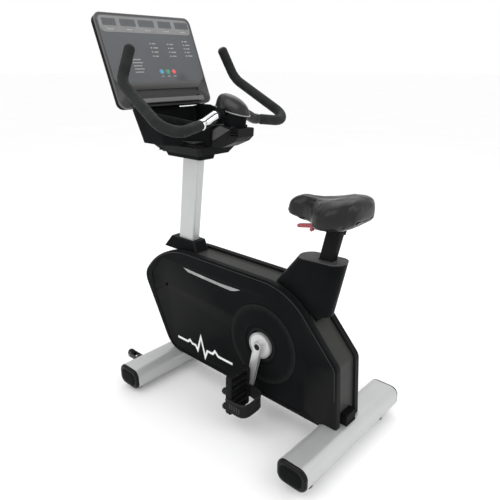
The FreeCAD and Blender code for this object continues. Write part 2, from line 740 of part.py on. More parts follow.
def seat_mechanism():
    """Bushing, sliding post, bracket, lever and latch rod."""
    lean = ("post_x", "post_z", "post_lean")
    sleeve = axis_box("sleeve", "post_length + 7.6", "post_width + 7.6", "-140", "-28", *lean)
    flange = axis_box("sleeve_flange", "post_length + 14", "post_width + 14", "-30", "-26", *lean)
    hole = tube_block("sleeve_hole", "post_length + 0.6", "post_width + 0.6",
                      "post_corner", "-150", "-20", *lean)
    keep(cut("bushing", fuse("sleeve_both", sleeve, flange), hole), "post_bushing")
    post = tube_block("post", "post_length", "post_width", "post_corner",
                      "post_low", "post_high", *lean)
    inside = axis_box("post_inside", "post_length - 5", "post_width - 5",
                      "post_low - 1", "post_high + 1", *lean)
    notch = box("post_notch", "30", "12", "20", (LEVER_X, "-6", f"{LEVER_Z} - 9"))
    keep(cut("seat_tube_inner", post, inside, notch), "seat_post")
    plate = box("bracket_plate", "80", "76", "6",
                (f"{BRACKET_X} - 50", "-46", "saddle_base - 6"))
    cheeks = []
    for side, y in (("left", "-post_width / 2 - 4"), ("right", "post_width / 2")):
        cheek = axis_box("cheek_" + side, "post_length", "4", "92", "122", *lean)
        cheek.setExpression("Placement.Base.y", formula(y))
        cheeks.append(cheek)
    for side, y in (("outer", "-46"), ("inner", "-33")):
        cheeks.append(box("ear_" + side, "26", "3", "22",
                          (f"{BRACKET_X} - 50", y, "saddle_base - 23")))
    bracket = fuse("bracket_solid", plate, *cheeks)
    pin_hole = cylinder("pin_hole", "3", "60", (LEVER_X, "-50", LEVER_Z))
    tube_hole = cylinder("tube_hole", "5 + body_gap", "6", (LEVER_X, "-34", LEVER_Z))
    keep(cut("saddle_bracket_cut", bracket, pin_hole, tube_hole), "saddle_bracket")
    keep(cylinder("pivot", "3", "54", (LEVER_X, "-48", LEVER_Z)), "lever_pin")
    lever = side_plate("lever", [
        (f"{LEVER_X} + 7", f"{LEVER_Z} + 5", 3), (f"{LEVER_X} - 27", f"{LEVER_Z} + 6", 6),
        (f"{LEVER_X} - 78", f"{LEVER_Z} - 4", 5), (f"{LEVER_X} - 84", f"{LEVER_Z} - 17", 5),
        (f"{LEVER_X} - 66", f"{LEVER_Z} - 14", 6), (f"{LEVER_X} - 27", f"{LEVER_Z} - 7", 6),
        (f"{LEVER_X} + 7", f"{LEVER_Z} - 5", 3),
    ], "33.6", "8.8")
    tube = cylinder("lever_tube", "5", "39", (LEVER_X, "-42.4", LEVER_Z))
    finger = box("lever_finger", "52", "8", "3", (LEVER_X, "-4", f"{LEVER_Z} - 1.5"))
    whole = fuse("lever_solid", lever, tube, finger)
    bore = cylinder("lever_bore", "3 + running_gap", "60", (LEVER_X, "-50", LEVER_Z))
    keep(cut("lever_cut", whole, bore), "height_lever")
    rod = tube_block("rod", "8", "8", "3.9", "post_low + 4", "post_high - 0.5", *lean)
    keep(rod, "latch_rod")


BRACKET_X = "(post_x + post_high * sin(post_lean))"
LEVER_X = "(post_x + post_high * sin(post_lean) - 38)"
LEVER_Z = "(saddle_base - 15)"


def saddle():
    """The saddle's hard pan and the padded cushion that wraps over its edge."""
    level = size("saddle_base")
    pan = []
    recess = []
    cushion = []
    for x, half, crown in saddle_stations():
        low = level + saddle_rise(x)
        reach = half * 0.84
        pan.append(flat_section(x, reach, low, low + PAN_DEPTH))
        recess.append(flat_section(x, reach + 0.5, low - 20, low + PAN_DEPTH + 0.5))
        skirt = low - 2
        waist = (skirt + crown) / 2
        corners = [(-half * 0.95, skirt), (-half, waist), (-half * 0.62, crown),
                   (half * 0.62, crown), (half, waist), (half * 0.95, skirt)]
        cushion.append(ring_of(Vector(x, y, z) for y, z in corners))
    pad_shape = Part.makeLoft(cushion, True, True).cut(Part.makeLoft(recess, True, True))
    keep(shaped("cushion", pad_shape), "saddle_cushion")
    keep(shaped("saddle_pan", Part.makeLoft(pan, True, True)), "saddle_base")


PAN_DEPTH = 8


def ring_of(points):
    """A closed wire through points."""
    points = list(points)
    return Part.makePolygon(points + points[:1])


def flat_section(x, reach, low, high):
    """A rectangle across the saddle."""
    return ring_of(Vector(x, y, z) for y, z in
                   ((-reach, low), (reach, low), (reach, high), (-reach, high)))


def saddle_rise(x):
    """How far the underside rises above the base's level, at the nose and at the tail."""
    front = size("saddle_nose") + 80
    rear = size("saddle_tail") - 70
    return max(0.0, (front - x) * 0.15, (x - rear) * 0.32)


def saddle_stations():
    """Sections along the saddle: place, half width and height of the crown."""
    nose = size("saddle_nose")
    tail = size("saddle_tail")
    half = size("saddle_half")
    level = size("saddle_base")
    return [
        (nose, half * 0.26, level + 48), (nose + 10, half * 0.33, level + 60),
        (nose + 60, half * 0.36, level + 63), (nose + 100, half * 0.46, level + 64),
        (nose + 140, half * 0.80, level + 67), (nose + 172, half, level + 74),
        (tail - 60, half * 0.98, level + 86), (tail - 28, half * 0.84, level + 91),
        (tail - 10, half * 0.62, level + 90), (tail, half * 0.42, level + 80),
    ]


# ---------------------------------------------------------------- drive

def crank_set():
    centre = ("crank_x", "-cover_half - 17", "crank_z")
    axle = cylinder("spindle", "crank_axle", "2 * cover_half + 34", centre)
    keep(axle, "crank_axle")
    outer = "crank_axle + 11"
    inner = "crank_axle + running_gap"
    left = ring("bearing", outer, inner, "bearing_width",
                ("crank_x", "-shell_half", "crank_z"))
    keep(group("bearings", left, mirror("bearing_right", left)), "crank_bearings")
    disc = ring("hub", "hub_radius", "crank_axle", "arm_inner - hub_inner",
                ("crank_x", "-arm_inner", "crank_z"))
    keep(group("hubs", disc, mirror("hub_right", disc)), "hub_discs")
    keep(crank_arm("left_arm", 1), "left_crank_arm")
    right = mirror("right_arm", crank_arm("right_arm_source", -1))
    keep(right, "right_crank_arm")
    bolt = cylinder("bolt", "7", "2.5", ("crank_x", "-cover_half - 19.5", "crank_z"))
    socket = cylinder("bolt_socket", "3.5", "2", ("crank_x", "-cover_half - 20", "crank_z"))
    bolt = cut("bolt_cut", bolt, socket)
    keep(group("bolts", bolt, mirror("bolt_right", bolt)), "crank_bolts")
    pulley = new_body("drive")
    sketch = circle(sketch_on(pulley, "XZ_Plane", "belt_y - 7"), "crank_x", "crank_z",
                    "pulley_radius")
    pad(pulley, sketch, "14")
    for turn in range(5):
        spot = f"{turn} * 72 + 18"
        hole = circle(sketch_on(pulley, "XZ_Plane", "belt_y - 7"),
                      f"crank_x + 62 * cos({spot})", f"crank_z + 62 * sin({spot})", "24")
        pocket(pulley, hole, "14")
    bore = circle(sketch_on(pulley, "XZ_Plane", "belt_y - 7"), "crank_x", "crank_z", "crank_axle")
    pocket(pulley, bore, "14")
    keep(pulley, "drive_pulley")


def pedal_x(way):
    return f"(crank_x - {way} * crank_length * sin(crank_lean))"


def pedal_z(way):
    return f"(crank_z - {way} * crank_length * cos(crank_lean))"


def crank_arm(name, way):
    """A forged arm on the left side.  way is 1 pointing down and -1 pointing up."""
    body = new_body(name)
    width = "arm_width / 2"
    sketch = sketch_on(body, "XY_Plane", "arm_inner")
    polygon(sketch, [
        (f"-{width}", f"{width}"), (f"{width}", f"{width}"),
        (f"{width} - 3", "-crank_length - 15"), (f"-{width} + 3", "-crank_length - 15"),
    ])
    pad(body, sketch, "arm_outer - arm_inner")
    round_edges(body, "arm_corner", lambda edge: edge.BoundBox.ZLength > 1)
    round_edges(body, "arm_edge", edge_on("Z", size("arm_outer")))
    seat = circle(sketch_on(body, "XY_Plane", "arm_inner"), "0", "0", "crank_axle")
    pocket(body, seat, "arm_outer", backwards=True)
    eye = circle(sketch_on(body, "XY_Plane", "arm_inner"), "0", "-crank_length", "pedal_pin")
    pocket(body, eye, "arm_outer", backwards=True)
    body.Placement = Placement(Vector(), Rotation(Vector(1, 0, 0), 90))
    turn = doc.addObject("Part::Compound", name + "_upright")
    turn.Links = [body]
    lean = "crank_lean" if way == 1 else "crank_lean + 180"
    return place(turn, "crank_x", "0", "crank_z", angle=lean)


def pedals():
    """Pedals, their axles and straps, hanging from the crank arms."""
    axles = []
    for side, way in (("left", 1), ("right", -1)):
        x = pedal_x(way)
        z = pedal_z(way)
        body = new_body(side + "_tread")
        sketch = sketch_on(body, "XY_Plane")
        rectangle(sketch, "-pedal_toe", "pedal_heel", "-pedal_outer", "-pedal_inner", "14")
        pad(body, sketch, "2 * pedal_half", symmetric=True)
        for left, right in (("-pedal_toe + 12", "-14"), ("14", "pedal_heel - 14")):
            window = sketch_on(body, "XY_Plane")
            rectangle(window, left, right, "-pedal_outer + 12", "-pedal_inner - 12", "5")
            pocket(body, window, "pedal_half + 1", backwards=True)
        bore = circle(sketch_on(body, "XZ_Plane"), "0", "0", "pedal_pin + running_gap")
        pocket(body, bore, "2 * pedal_outer", symmetric=True)
        place(body, x, "0", z, angle="pedal_tilt")
        strap = pedal_strap(side, x, z)
        axle = cylinder(side + "_spindle", "pedal_pin", "pedal_outer - arm_inner - 2",
                        (x, "-pedal_outer + 2", z))
        if side == "right":
            body = mirror("right_tread_mirror", body)
            strap = mirror("right_strap_mirror", strap)
            axle = mirror("right_spindle_mirror", axle)
        keep(body, side + "_pedal")
        keep(strap, side + "_pedal_strap")
        axles.append(axle)
    keep(group("spindles", *axles), "pedal_axles")


def pedal_strap(side, x, z):
    """A moulded strap that arches over the shoe."""
    body = new_body(side + "_strap")
    arch = sketch_on(body, "YZ_Plane", "strap_low")
    rectangle(arch, "-pedal_outer - strap_skin", "-pedal_inner + strap_skin",
              "-pedal_half + 4", "pedal_half + strap_height", "22")
    pad(body, arch, "strap_width")
    hollow = sketch_on(body, "YZ_Plane", "strap_low")
    rectangle(hollow, "-pedal_outer", "-pedal_inner",
              "-pedal_half + 3", "pedal_half + strap_height - strap_skin", "19")
    pocket(body, hollow, "strap_width")
    floor = sketch_on(body, "YZ_Plane", "strap_low")
    rectangle(floor, "-pedal_outer + 0.01", "-pedal_inner - 0.01", "-30", "10")
    pocket(body, floor, "strap_width")
    bore = circle(sketch_on(body, "XZ_Plane"), "0", "0", "pedal_pin + body_gap")
    pocket(body, bore, "2 * pedal_outer", symmetric=True)
    place(body, x, "0", z, angle="pedal_tilt")
    return body


def belt_loop(sketch, grow):
    """A belt's line round both pulleys, off their rims by a distance."""
    big = number(f"pulley_radius + {grow}")
    small = number(f"small_pulley + {grow}")
    rear = Vector(number("crank_x"), number("crank_z"), 0)
    front = Vector(number("flywheel_x"), number("flywheel_z"), 0)
    away = front - rear
    lean = math.atan2(away.y, away.x)
    spread = math.acos((big - small) / away.Length)
    arcs = []
    for centre, radius, first, last in ((rear, big, lean + spread, lean - spread + 2 * math.pi),
                                        (front, small, lean - spread, lean + spread)):
        ring_line = Part.Circle(centre, Vector(0, 0, 1), radius)
        arcs.append(sketch.addGeometry(Part.ArcOfCircle(ring_line, first, last)))
    rear_arc, front_arc = arcs
    above = sketch.addGeometry(Part.LineSegment(
        sketch.Geometry[front_arc].EndPoint, sketch.Geometry[rear_arc].StartPoint))
    below = sketch.addGeometry(Part.LineSegment(
        sketch.Geometry[rear_arc].EndPoint, sketch.Geometry[front_arc].StartPoint))
    for one, end, two, start in ((front_arc, 2, above, 1), (above, 2, rear_arc, 1),
                                 (rear_arc, 2, below, 1), (below, 2, front_arc, 1)):
        sketch.addConstraint(Sketcher.Constraint("Tangent", one, end, two, start))
    pin_point(sketch, rear_arc, 3, "crank_x", "crank_z")
    pin_point(sketch, front_arc, 3, "flywheel_x", "flywheel_z")
    drive(sketch, "Radius", rear_arc, text=f"pulley_radius + {grow}")
    drive(sketch, "Radius", front_arc, text=f"small_pulley + {grow}")
    return sketch


def flywheel_set():
    """Flywheel, its pulley, the belt, the idler and the magnetic brake."""
    wheel = new_body("wheel_disc")
    rim = sketch_on(wheel, "XY_Plane")
    half = "flywheel_width / 2"
    bore = "flywheel_axle + running_gap"
    polygon(rim, [
        (bore, f"-{half} - 4"), (f"{bore} + 14", f"-{half} - 4"), (f"{bore} + 18", "-8"),
        ("flywheel_radius - 30", "-8"), ("flywheel_radius - 24", f"-{half}"),
        ("flywheel_radius", f"-{half}"), ("flywheel_radius", half),
        ("flywheel_radius - 24", half), ("flywheel_radius - 30", "8"),
        (f"{bore} + 18", "8"), (f"{bore} + 14", f"{half} + 4"), (bore, f"{half} + 4"),
    ])
    revolve(wheel, rim)
    place(wheel, "flywheel_x", "0", "flywheel_z")
    keep(wheel, "flywheel")
    small = ring("small", "small_pulley", bore, "belt_y + 7 - flywheel_width / 2 - 4",
                 ("flywheel_x", "-belt_y - 7", "flywheel_z"))
    keep(small, "flywheel_pulley")
    belt = new_body("belt")
    pad(belt, belt_loop(sketch_on(belt, "XZ_Plane", "belt_y - belt_width / 2"),
                        "body_gap + belt_skin"), "belt_width")
    pocket(belt, belt_loop(sketch_on(belt, "XZ_Plane", "belt_y - belt_width / 2"),
                           "body_gap"), "belt_width")
    keep(belt, "drive_belt")
    arm = side_plate("idler_plate", [
        ("idler_x - 16", "rail_bottom + 4", 4), ("idler_x + 16", "rail_bottom + 4", 4),
        ("idler_x + 9", "idler_z + 9", 8), ("idler_x - 9", "idler_z + 9", 8),
    ], "rail_half", "4")
    stud = cylinder("idler_stud", "5", "28", ("idler_x", "-rail_half - 28", "idler_z"))
    keep(fuse("idler_both", arm, stud), "idler_bracket")
    idler = ring("idler", "idler_radius", "5 + running_gap", "14",
                 ("idler_x", "-belt_y - 7", "idler_z"))
    keep(idler, "idler_pulley")
    brake()


def brake():
    """A magnet carrier that straddles the rim and tilts on a pin."""
    profile = new_body("carrier")
    sketch = sketch_on(profile, "XY_Plane")
    half = "(flywheel_width / 2 + 3)"
    polygon(sketch, [
        ("flywheel_radius - 22", f"-{half} - 4"), ("flywheel_radius + 8", f"-{half} - 4"),
        ("flywheel_radius + 8", f"{half} + 4"), ("flywheel_radius - 22", f"{half} + 4"),
        ("flywheel_radius - 22", half), ("flywheel_radius + 4", half),
        ("flywheel_radius + 4", f"-{half}"), ("flywheel_radius - 22", f"-{half}"),
    ])
    revolve(profile, sketch, 62)
    place(profile, "flywheel_x", "0", "flywheel_z", angle="-brake_angle + 8")
    lug = box("lug", "44", "22", "24", (f"{BRAKE_X} - 8", "-11", f"{BRAKE_Z} - 14"))
    inside = cylinder("rim_space", "flywheel_radius + 4", "60",
                      ("flywheel_x", "-30", "flywheel_z"))
    cheeks = fuse("carrier_lug", profile, cut("lug_cut", lug, inside))
    pin = cylinder("carrier_bore", "brake_pin + running_gap", "60", (BRAKE_X, "-30", BRAKE_Z))
    keep(cut("carrier_cut", cheeks, pin), "magnet_brake")


# ---------------------------------------------------------------- console

def on_console(item):
    """Move a piece from the console's own frame, whose face is the plane x = 0."""
    return place(item, "console_x", "0", "console_z", angle="-console_lean")


def console_box(name, x, z, thick, half, height):
    """A block in the console's own frame, from its low corner."""
    item = box(name, thick, f"2 * ({half})", height)
    return place(item, f"console_x + ({x}) * cos(console_lean) - ({z}) * sin(console_lean)",
                 f"-({half})",
                 f"console_z + ({x}) * sin(console_lean) + ({z}) * cos(console_lean)",
                 angle="-console_lean")


def console():
    bezel = new_body("bezel")
    frame_line = sketch_on(bezel, "YZ_Plane", "-8")
    rectangle(frame_line, "-console_half", "console_half", "0", "console_height",
              "console_corner")
    pad(bezel, frame_line, "8")
    window = sketch_on(bezel, "YZ_Plane")
    rectangle(window, "-glass_half - 0.3", "glass_half + 0.3", "glass_low - 0.3",
              "glass_high + 0.3", "console_corner - 6")
    pocket(bezel, window, "glass_thick + 0.1")
    slot = rectangle(sketch_on(bezel, "YZ_Plane"), "-165", "165", "52", "63", "2")
    pocket(bezel, slot, "5")
    ledge = rectangle(sketch_on(bezel, "YZ_Plane"), "-165", "165", "8", "33", "6")
    pad(bezel, ledge, "16")
    round_edges(bezel, "4", edge_on("X", 16))
    groove = rectangle(sketch_on(bezel, "YZ_Plane", "16"), "-150", "150", "26", "40")
    pocket(bezel, groove, "12")
    for i in range(3):
        well = sketch_on(bezel, "YZ_Plane")
        circle(well, key_y(i), "key_z", "key_radius + 0.4")
        pocket(bezel, well, "7")
    keep(on_console(bezel), "console_bezel")
    glass = new_body("glass")
    sheet_line = sketch_on(glass, "YZ_Plane", "-glass_thick")
    rectangle(sheet_line, "-glass_half", "glass_half", "glass_low", "glass_high",
              "console_corner - 6")
    pad(glass, sheet_line, "glass_thick - 0.1")
    for i in range(3):
        hole = circle(sketch_on(glass, "YZ_Plane"), key_y(i), "key_z", "key_radius + 0.4")
        pocket(glass, hole, "20", symmetric=True)
    keep(on_console(glass), "console_screen")
    for i, colour in enumerate(("blue", "green", "red")):
        key = new_body(colour)
        disc = circle(sketch_on(key, "YZ_Plane", "-5.5"), key_y(i), "key_z", "key_radius")
        pad(key, disc, "7")
        round_edges(key, "1", edge_on("X", 1.5))
        keep(on_console(key), colour + "_key")
    shell = new_body("shell")
    back = sketch_on(shell, "YZ_Plane", "-console_thick")
    rectangle(back, "-console_half + 1", "console_half - 1", "1", "console_height - 1",
              "console_corner - 1")
    pad(shell, back, "console_thick - 8")
    round_edges(shell, "15", edge_on("X", -size("console_thick")))
    hollow = sketch_on(shell, "YZ_Plane", "-8")
    rectangle(hollow, "-console_half + 5", "console_half - 5", "5", "console_height - 5",
              "console_corner - 5")
    pocket(shell, hollow, "12")
    keep(on_console(shell), "console_shell")


def key_y(i):
    return f"7 + {i} * 29"


def tray():
    """The tub under the console, its lower housing round the mast and the console's neck."""
    tub = tub_loft("tub", "0")
    keel = frustum("keel", ("944", "-336", "-126", "76", "14"),
                   ("977.5", "-371", "-106", "104", "14"))
    pit = frustum("pit", ("950", "-330", "-134", "68", "10"), ("996", "-361", "-116", "98", "10"))
    collar = frustum("collar", ("921", "-352", "-168", "36", "8"),
                     ("960", "-372", "-160", "46", "8"))
    neck = console_box("neck", "-console_thick - 22", "-60", "40", "75", "130")
    space = console_box("console_space", "-console_thick", "-body_gap", "200", "300", "400")
    rim = box("rim_space", "400", "400", "120")
    place(rim, "-330", "-200", "1105", angle="12.6")
    mast_space = tube_block("mast_space", "mast_length", "mast_width", "mast_corner",
                            "250", "mast_high", "mast_x", "mast_z", "mast_lean")
    whole = fuse("tub_collar", tub, keel, collar, neck)
    keep(cut("tub_cut", whole, tub_loft("tub_hollow", "4"), pit, rim, mast_space, space),
         "accessory_tray")


def tub_loft(name, inset):
    """The tub's six-sided outline, narrower at the bottom and at the rear."""
    sections = []
    for level, front, rear, wide, narrow in ((f"977 + 3.5 * {inset}", "-372", "-104", "132", "48"),
                                             (f"1100 + {inset}", "-400", "-85", "156", "55")):
        sketch = doc.addObject("Sketcher::SketchObject", name + "_section")
        polygon(sketch, [
            (f"{front} + {inset}", f"-({wide} - {inset})", "14"),
            ("-262", f"-({wide} - {inset})", "30"),
            (f"{rear} - {inset}", f"-({narrow} - {inset})", "10"),
            (f"{rear} - {inset}", f"{narrow} - {inset}", "10"),
            ("-262", f"{wide} - {inset}", "30"),
            (f"{front} + {inset}", f"{wide} - {inset}", "14"),
        ])
        sections.append(place(sketch, "0", "0", level))
    loft = doc.addObject("Part::Loft", name)
    loft.Sections = sections
    loft.Solid = True
    loft.Ruled = True
    doc.recompute()
    return loft


def stem():
    """The shroud behind the tray, the handlebar clamp and the cover over it."""
    body = side_plate("stem_solid", [
        ("-150", "1010", 4), ("-150", "992", 4), ("-104", "978", 8), ("-52", "980", 8),
        ("4", "1003", 8), ("24", "1020", 6), ("26", "1048", 5), ("-8", "1047", 4), ("-62", "1057", 4),
    ], "-stem_half", "2 * stem_half")
    for level in ("1024", "1033", "1042"):
        for face in ("stem_half", "-stem_half + 6"):
            vent = sketch_on(body, "XZ_Plane", face)
            rectangle(vent, "-12", "24", level, f"{level} + 4", "1.5")
            pocket(body, vent, "6")
    post = cylinder("clamp_post", "24", "60", ("bar_x", "0", "1040"), "z")
    strut = cylinder("clamp_strut", "20", "50", ("bar_x + 38", "0", "1040"), "z")
    keep(cut("stem_cut", body, post, strut, tub_loft("tub_space", "0")), "stem_shroud")
    block = box("clamp_block", "48", "56", "34", ("bar_x - 24", "-28", "bar_z - 18"))
    bar = shaped("bar_space", pipe(handlebar_path(), size("bar_tube")))
    clamp = cut("clamp", fuse("clamp_solid", post, strut, block), bar)
    keep(clamp, "handlebar_clamp")
    outside = dome("dome_outside", "0")
    inside = dome("dome_inside", "dome_skin")
    below = box("dome_below", "300", "300", "120")
    place(below, "dome_x - 150", "-150", "dome_z - 120 + 150 * tan(dome_lean)",
          angle="dome_lean")
    keep(cut("dome", outside, inside, below, clamp, bar), "clamp_cover")


def dome(name, inset):
    """The clamp cover's oval, shrunk by an inset."""
    item = doc.addObject("Part::Ellipsoid", name)
    for name, text in (("Radius1", "dome_height"), ("Radius2", "dome_length"),
                       ("Radius3", "dome_half")):
        item.setExpression(name, formula(f"{text} - {inset}"))
    return place(item, "dome_x", "0", "dome_z", angle="dome_lean")


# ---------------------------------------------------------------- handlebar

def handlebar_path():
    """The bar's centre line, from the left tip to the right tip."""
    half = [(-295, -214, 1296), (-281, -266, 1194), (-12, -300, 1044), (-51, -120, 1066),
            (-46, -50, 1098)]
    bends = [60, 62, 40, 30]
    other = [(x, -y, z) for x, y, z in reversed(half)]
    return smooth_path(half + other, bends + bends[::-1])


def handlebar():
    """The bent tube, its foam grips and the two pulse sensors."""
    path = handlebar_path()
    keep(shaped("bar", pipe(path, size("bar_tube"))), "handlebar_tube")
    core = pipe(path, size("bar_tube"))
    foam = pipe(path, size("grip_radius"))
    sleeve = pipe(path, size("sensor_radius"))
    grips = []
    sensors = []
    for way in (-1, 1):
        grips.append(foam.common(slice_across(way, size("grip_inner"), 400)).cut(core))
        span = size("grip_inner") - size("sensor_inner") - 1
        sensors.append(sleeve.common(slice_across(way, size("sensor_inner"), span)).cut(core))
    keep(shaped("grips", Part.makeCompound(grips)), "foam_grips")
    keep(shaped("sensors", Part.makeCompound(sensors)), "pulse_sensors")


def slice_across(way, start, length):
    """Everything at handlebar height between two distances from the middle."""
    side = start if way > 0 else -start - length
    return Part.makeBox(500, length, 500, Vector(-400, side, 950))


# ---------------------------------------------------------------- fasteners

def fasteners():
    """Wheel axles, and screws through the mast and under the stabilizer bars."""
    half = "(wheel_width / 2 + 1 + bracket_plate)"
    screws = [cylinder("wheel_axle", "wheel_pin", f"2 * {half} + 6",
                       ("wheel_x", f"-wheel_y - {half} - 3", "wheel_z"))]
    for x, z in (("-300", "500"), ("-296", "528")):
        screws.append(cylinder("mast_screw", "4", "5", (x, "-mast_width / 2 - 5", z)))
    for bar in ("front", "rear"):
        screws.append(cylinder("bar_screw", "6", "6",
                               (f"{bar}_bar_x", "-18", f"{bar}_bar_z - bar_height / 2 - 6"),
                               "z"))
    right = [mirror("screw_right", screw) for screw in screws]
    keep(group("screws", *screws, *right), "frame_screws")


# ---------------------------------------------------------------- build

def check():
    """Stop if any object failed or any sub-part is empty or unsound."""
    doc.recompute()
    for item in doc.Objects:
        if "Invalid" in item.State or "Error" in item.State:
            raise ValueError(f"{item.Name} is {item.State}")
    for node in NODES:
        if node.Shape.isNull() or not node.Shape.isValid() or not node.Shape.Solids:
            raise ValueError(f"{node.Label} has no sound solid")


def write():
    os.makedirs("parts", exist_ok=True)
    for node in NODES:
        node.Shape.exportStep(f"parts/{node.Label}.step")
        print(node.Label, len(node.Shape.Solids), round(node.Shape.Volume))


base()
transport_wheels()
frame()
mast()
covers()
tower()
seat_mechanism()
saddle()
crank_set()
pedals()
flywheel_set()
console()
tray()
stem()
handlebar()
fasteners()
check()
write()
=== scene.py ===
import math
import bmesh
import bpy
from mathutils import Euler, Matrix, Vector


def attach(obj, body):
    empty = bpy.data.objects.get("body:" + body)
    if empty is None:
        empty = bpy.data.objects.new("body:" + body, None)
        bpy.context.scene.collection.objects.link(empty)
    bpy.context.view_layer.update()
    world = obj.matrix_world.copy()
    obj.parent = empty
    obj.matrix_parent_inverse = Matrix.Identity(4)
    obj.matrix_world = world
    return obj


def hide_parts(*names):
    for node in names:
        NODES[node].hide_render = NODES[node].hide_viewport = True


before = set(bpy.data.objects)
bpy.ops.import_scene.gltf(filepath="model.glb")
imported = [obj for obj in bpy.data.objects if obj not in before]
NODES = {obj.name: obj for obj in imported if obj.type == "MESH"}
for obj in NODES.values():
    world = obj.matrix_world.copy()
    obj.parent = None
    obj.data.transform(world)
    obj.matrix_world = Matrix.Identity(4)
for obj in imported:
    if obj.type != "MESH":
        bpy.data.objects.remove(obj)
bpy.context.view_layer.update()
for imported in list(bpy.data.materials):
    bpy.data.materials.remove(imported)

# ---------------------------------------------------------------- places, in metres

CONSOLE = Matrix.Translation((-0.365, 0.0, 1.103)) @ Matrix.Rotation(math.radians(-21.6), 4, "Y")
CRANK = Vector((0.164, 0.0, 0.313))
CRANK_LEAN = math.radians(13.3)
PEDAL_TILT = math.radians(92)
PANEL_FACE = 0.069
BAR_HALF = [(-0.295, -0.214, 1.296), (-0.281, -0.266, 1.194), (-0.012, -0.300, 1.044),
            (-0.051, -0.120, 1.066), (-0.046, -0.050, 1.098)]
BAR_BENDS = [0.060, 0.062, 0.040, 0.030]
GRIP_INNER = 0.142
SENSOR_INNER = 0.068
CRANK_LENGTH = 0.170
SIDES = (("left", -1), ("right", 1))
POD_PLACE = (Matrix.Translation((-0.037, 0.0, 1.103))
             @ Matrix.Rotation(math.radians(12), 4, "Y"))
POD_HALF_LENGTH, POD_HALF_WIDTH, POD_HEIGHT = 0.0735, 0.0350, 0.0470
SADDLE_START, SADDLE_LENGTH = 0.229, 0.266
SADDLE_VOXEL = 0.005
TRACE_STROKE = 0.0100
PRINT_LOW, PRINT_HIGH = -0.0002, 0.0004
CAMERA_PLACE = (1.199, -1.275, 1.253)
CAMERA_TURN = (69.838, 0.0, 42.218)
CAMERA_LENS = 36.716


# ---------------------------------------------------------------- materials

class Look:
    """A node material built up layer by layer on one Principled shader."""

    def __init__(self, name, rough=0.5, metal=0.0, coat=0.0, specular=0.1):
        self.material = bpy.data.materials.new(name)
        self.material.use_nodes = True
        self.tree = self.material.node_tree
        self.shader = self.tree.nodes["Principled BSDF"]
        self.shader.inputs["Roughness"].default_value = rough
        self.shader.inputs["Metallic"].default_value = metal
        self.shader.inputs["Coat Weight"].default_value = coat
        self.shader.inputs["Specular IOR Level"].default_value = specular
        self.place = self.node("ShaderNodeTexCoord").outputs["Object"]
        self.colour = None
        self.normal = None

    def node(self, kind, **settings):
        made = self.tree.nodes.new(kind)
        for name, value in settings.items():
            setattr(made, name, value)
        return made

    def join(self, source, target):
        self.tree.links.new(source, target)

    def noise(self, scale, detail=4.0, stretch=(1, 1, 1), rough=0.55):
        mapping = self.node("ShaderNodeMapping")
        mapping.inputs["Scale"].default_value = stretch
        self.join(self.place, mapping.inputs["Vector"])
        made = self.node("ShaderNodeTexNoise")
        made.inputs["Scale"].default_value = scale
        made.inputs["Detail"].default_value = detail
        made.inputs["Roughness"].default_value = rough
        self.join(mapping.outputs["Vector"], made.inputs["Vector"])
        return made.outputs["Fac"]

    def cells(self, scale, feature="F1"):
        made = self.node("ShaderNodeTexVoronoi", feature=feature)
        made.inputs["Scale"].default_value = scale
        self.join(self.place, made.inputs["Vector"])
        return made.outputs["Distance"]

    def ramp(self, source, stops):
        """stops: (position, grey level or colour)."""
        made = self.node("ShaderNodeValToRGB")
        band = made.color_ramp
        while len(band.elements) < len(stops):
            band.elements.new(0.5)
        for element, (position, value) in zip(band.elements, stops):
            element.position = position
            rgb = (value, value, value) if isinstance(value, (int, float)) else value
            element.color = (*rgb, 1.0)
        self.join(source, made.inputs["Fac"])
        return made.outputs["Color"]

    def tint(self, low, high, scale=7.0, stretch=(1, 1, 1)):
        """Cloudy variation between two tones."""
        self.colour = self.ramp(self.noise(scale, stretch=stretch), [(0.32, low), (0.68, high)])
        self.join(self.colour, self.shader.inputs["Base Color"])
        return self

    def edge_wear_and_highlight(self, tone, low=0.53, high=0.60, amount=0.7):
        """Lighter colour along sharp edges: partly rubbed paint or plastic, partly a painted edge
        highlight.
        """
        edge = self.ramp(self.node("ShaderNodeNewGeometry").outputs["Pointiness"],
                         [(low, 0.0), (high, amount)])
        mix = self.node("ShaderNodeMix", data_type="RGBA")
        self.join(edge, mix.inputs["Factor"])
        self.join(self.colour, mix.inputs[6])
        mix.inputs[7].default_value = (*tone, 1.0)
        self.colour = mix.outputs[2]
        self.join(self.colour, self.shader.inputs["Base Color"])
        return self

    def gloss(self, low, high, scale=30.0, stretch=(1, 1, 1)):
        """Roughness that wanders between two levels."""
        source = self.noise(scale, stretch=stretch)
        made = self.node("ShaderNodeMapRange")
        made.inputs["From Min"].default_value = 0.3
        made.inputs["From Max"].default_value = 0.7
        made.inputs["To Min"].default_value = low
        made.inputs["To Max"].default_value = high
        self.join(source, made.inputs["Value"])
        self.join(made.outputs["Result"], self.shader.inputs["Roughness"])
        return self

    def bump(self, source, strength, distance):
        made = self.node("ShaderNodeBump")
        made.inputs["Strength"].default_value = strength
        made.inputs["Distance"].default_value = distance
        self.join(source, made.inputs["Height"])
        if self.normal is not None:
            self.join(self.normal, made.inputs["Normal"])
        self.normal = made.outputs["Normal"]
        self.join(self.normal, self.shader.inputs["Normal"])
        return self

    def grain(self, scale, strength=0.2, distance=0.0002, stretch=(1, 1, 1)):
        return self.bump(self.noise(scale, detail=2.0, stretch=stretch), strength, distance)


def grey(level):
    return (level, level, level)


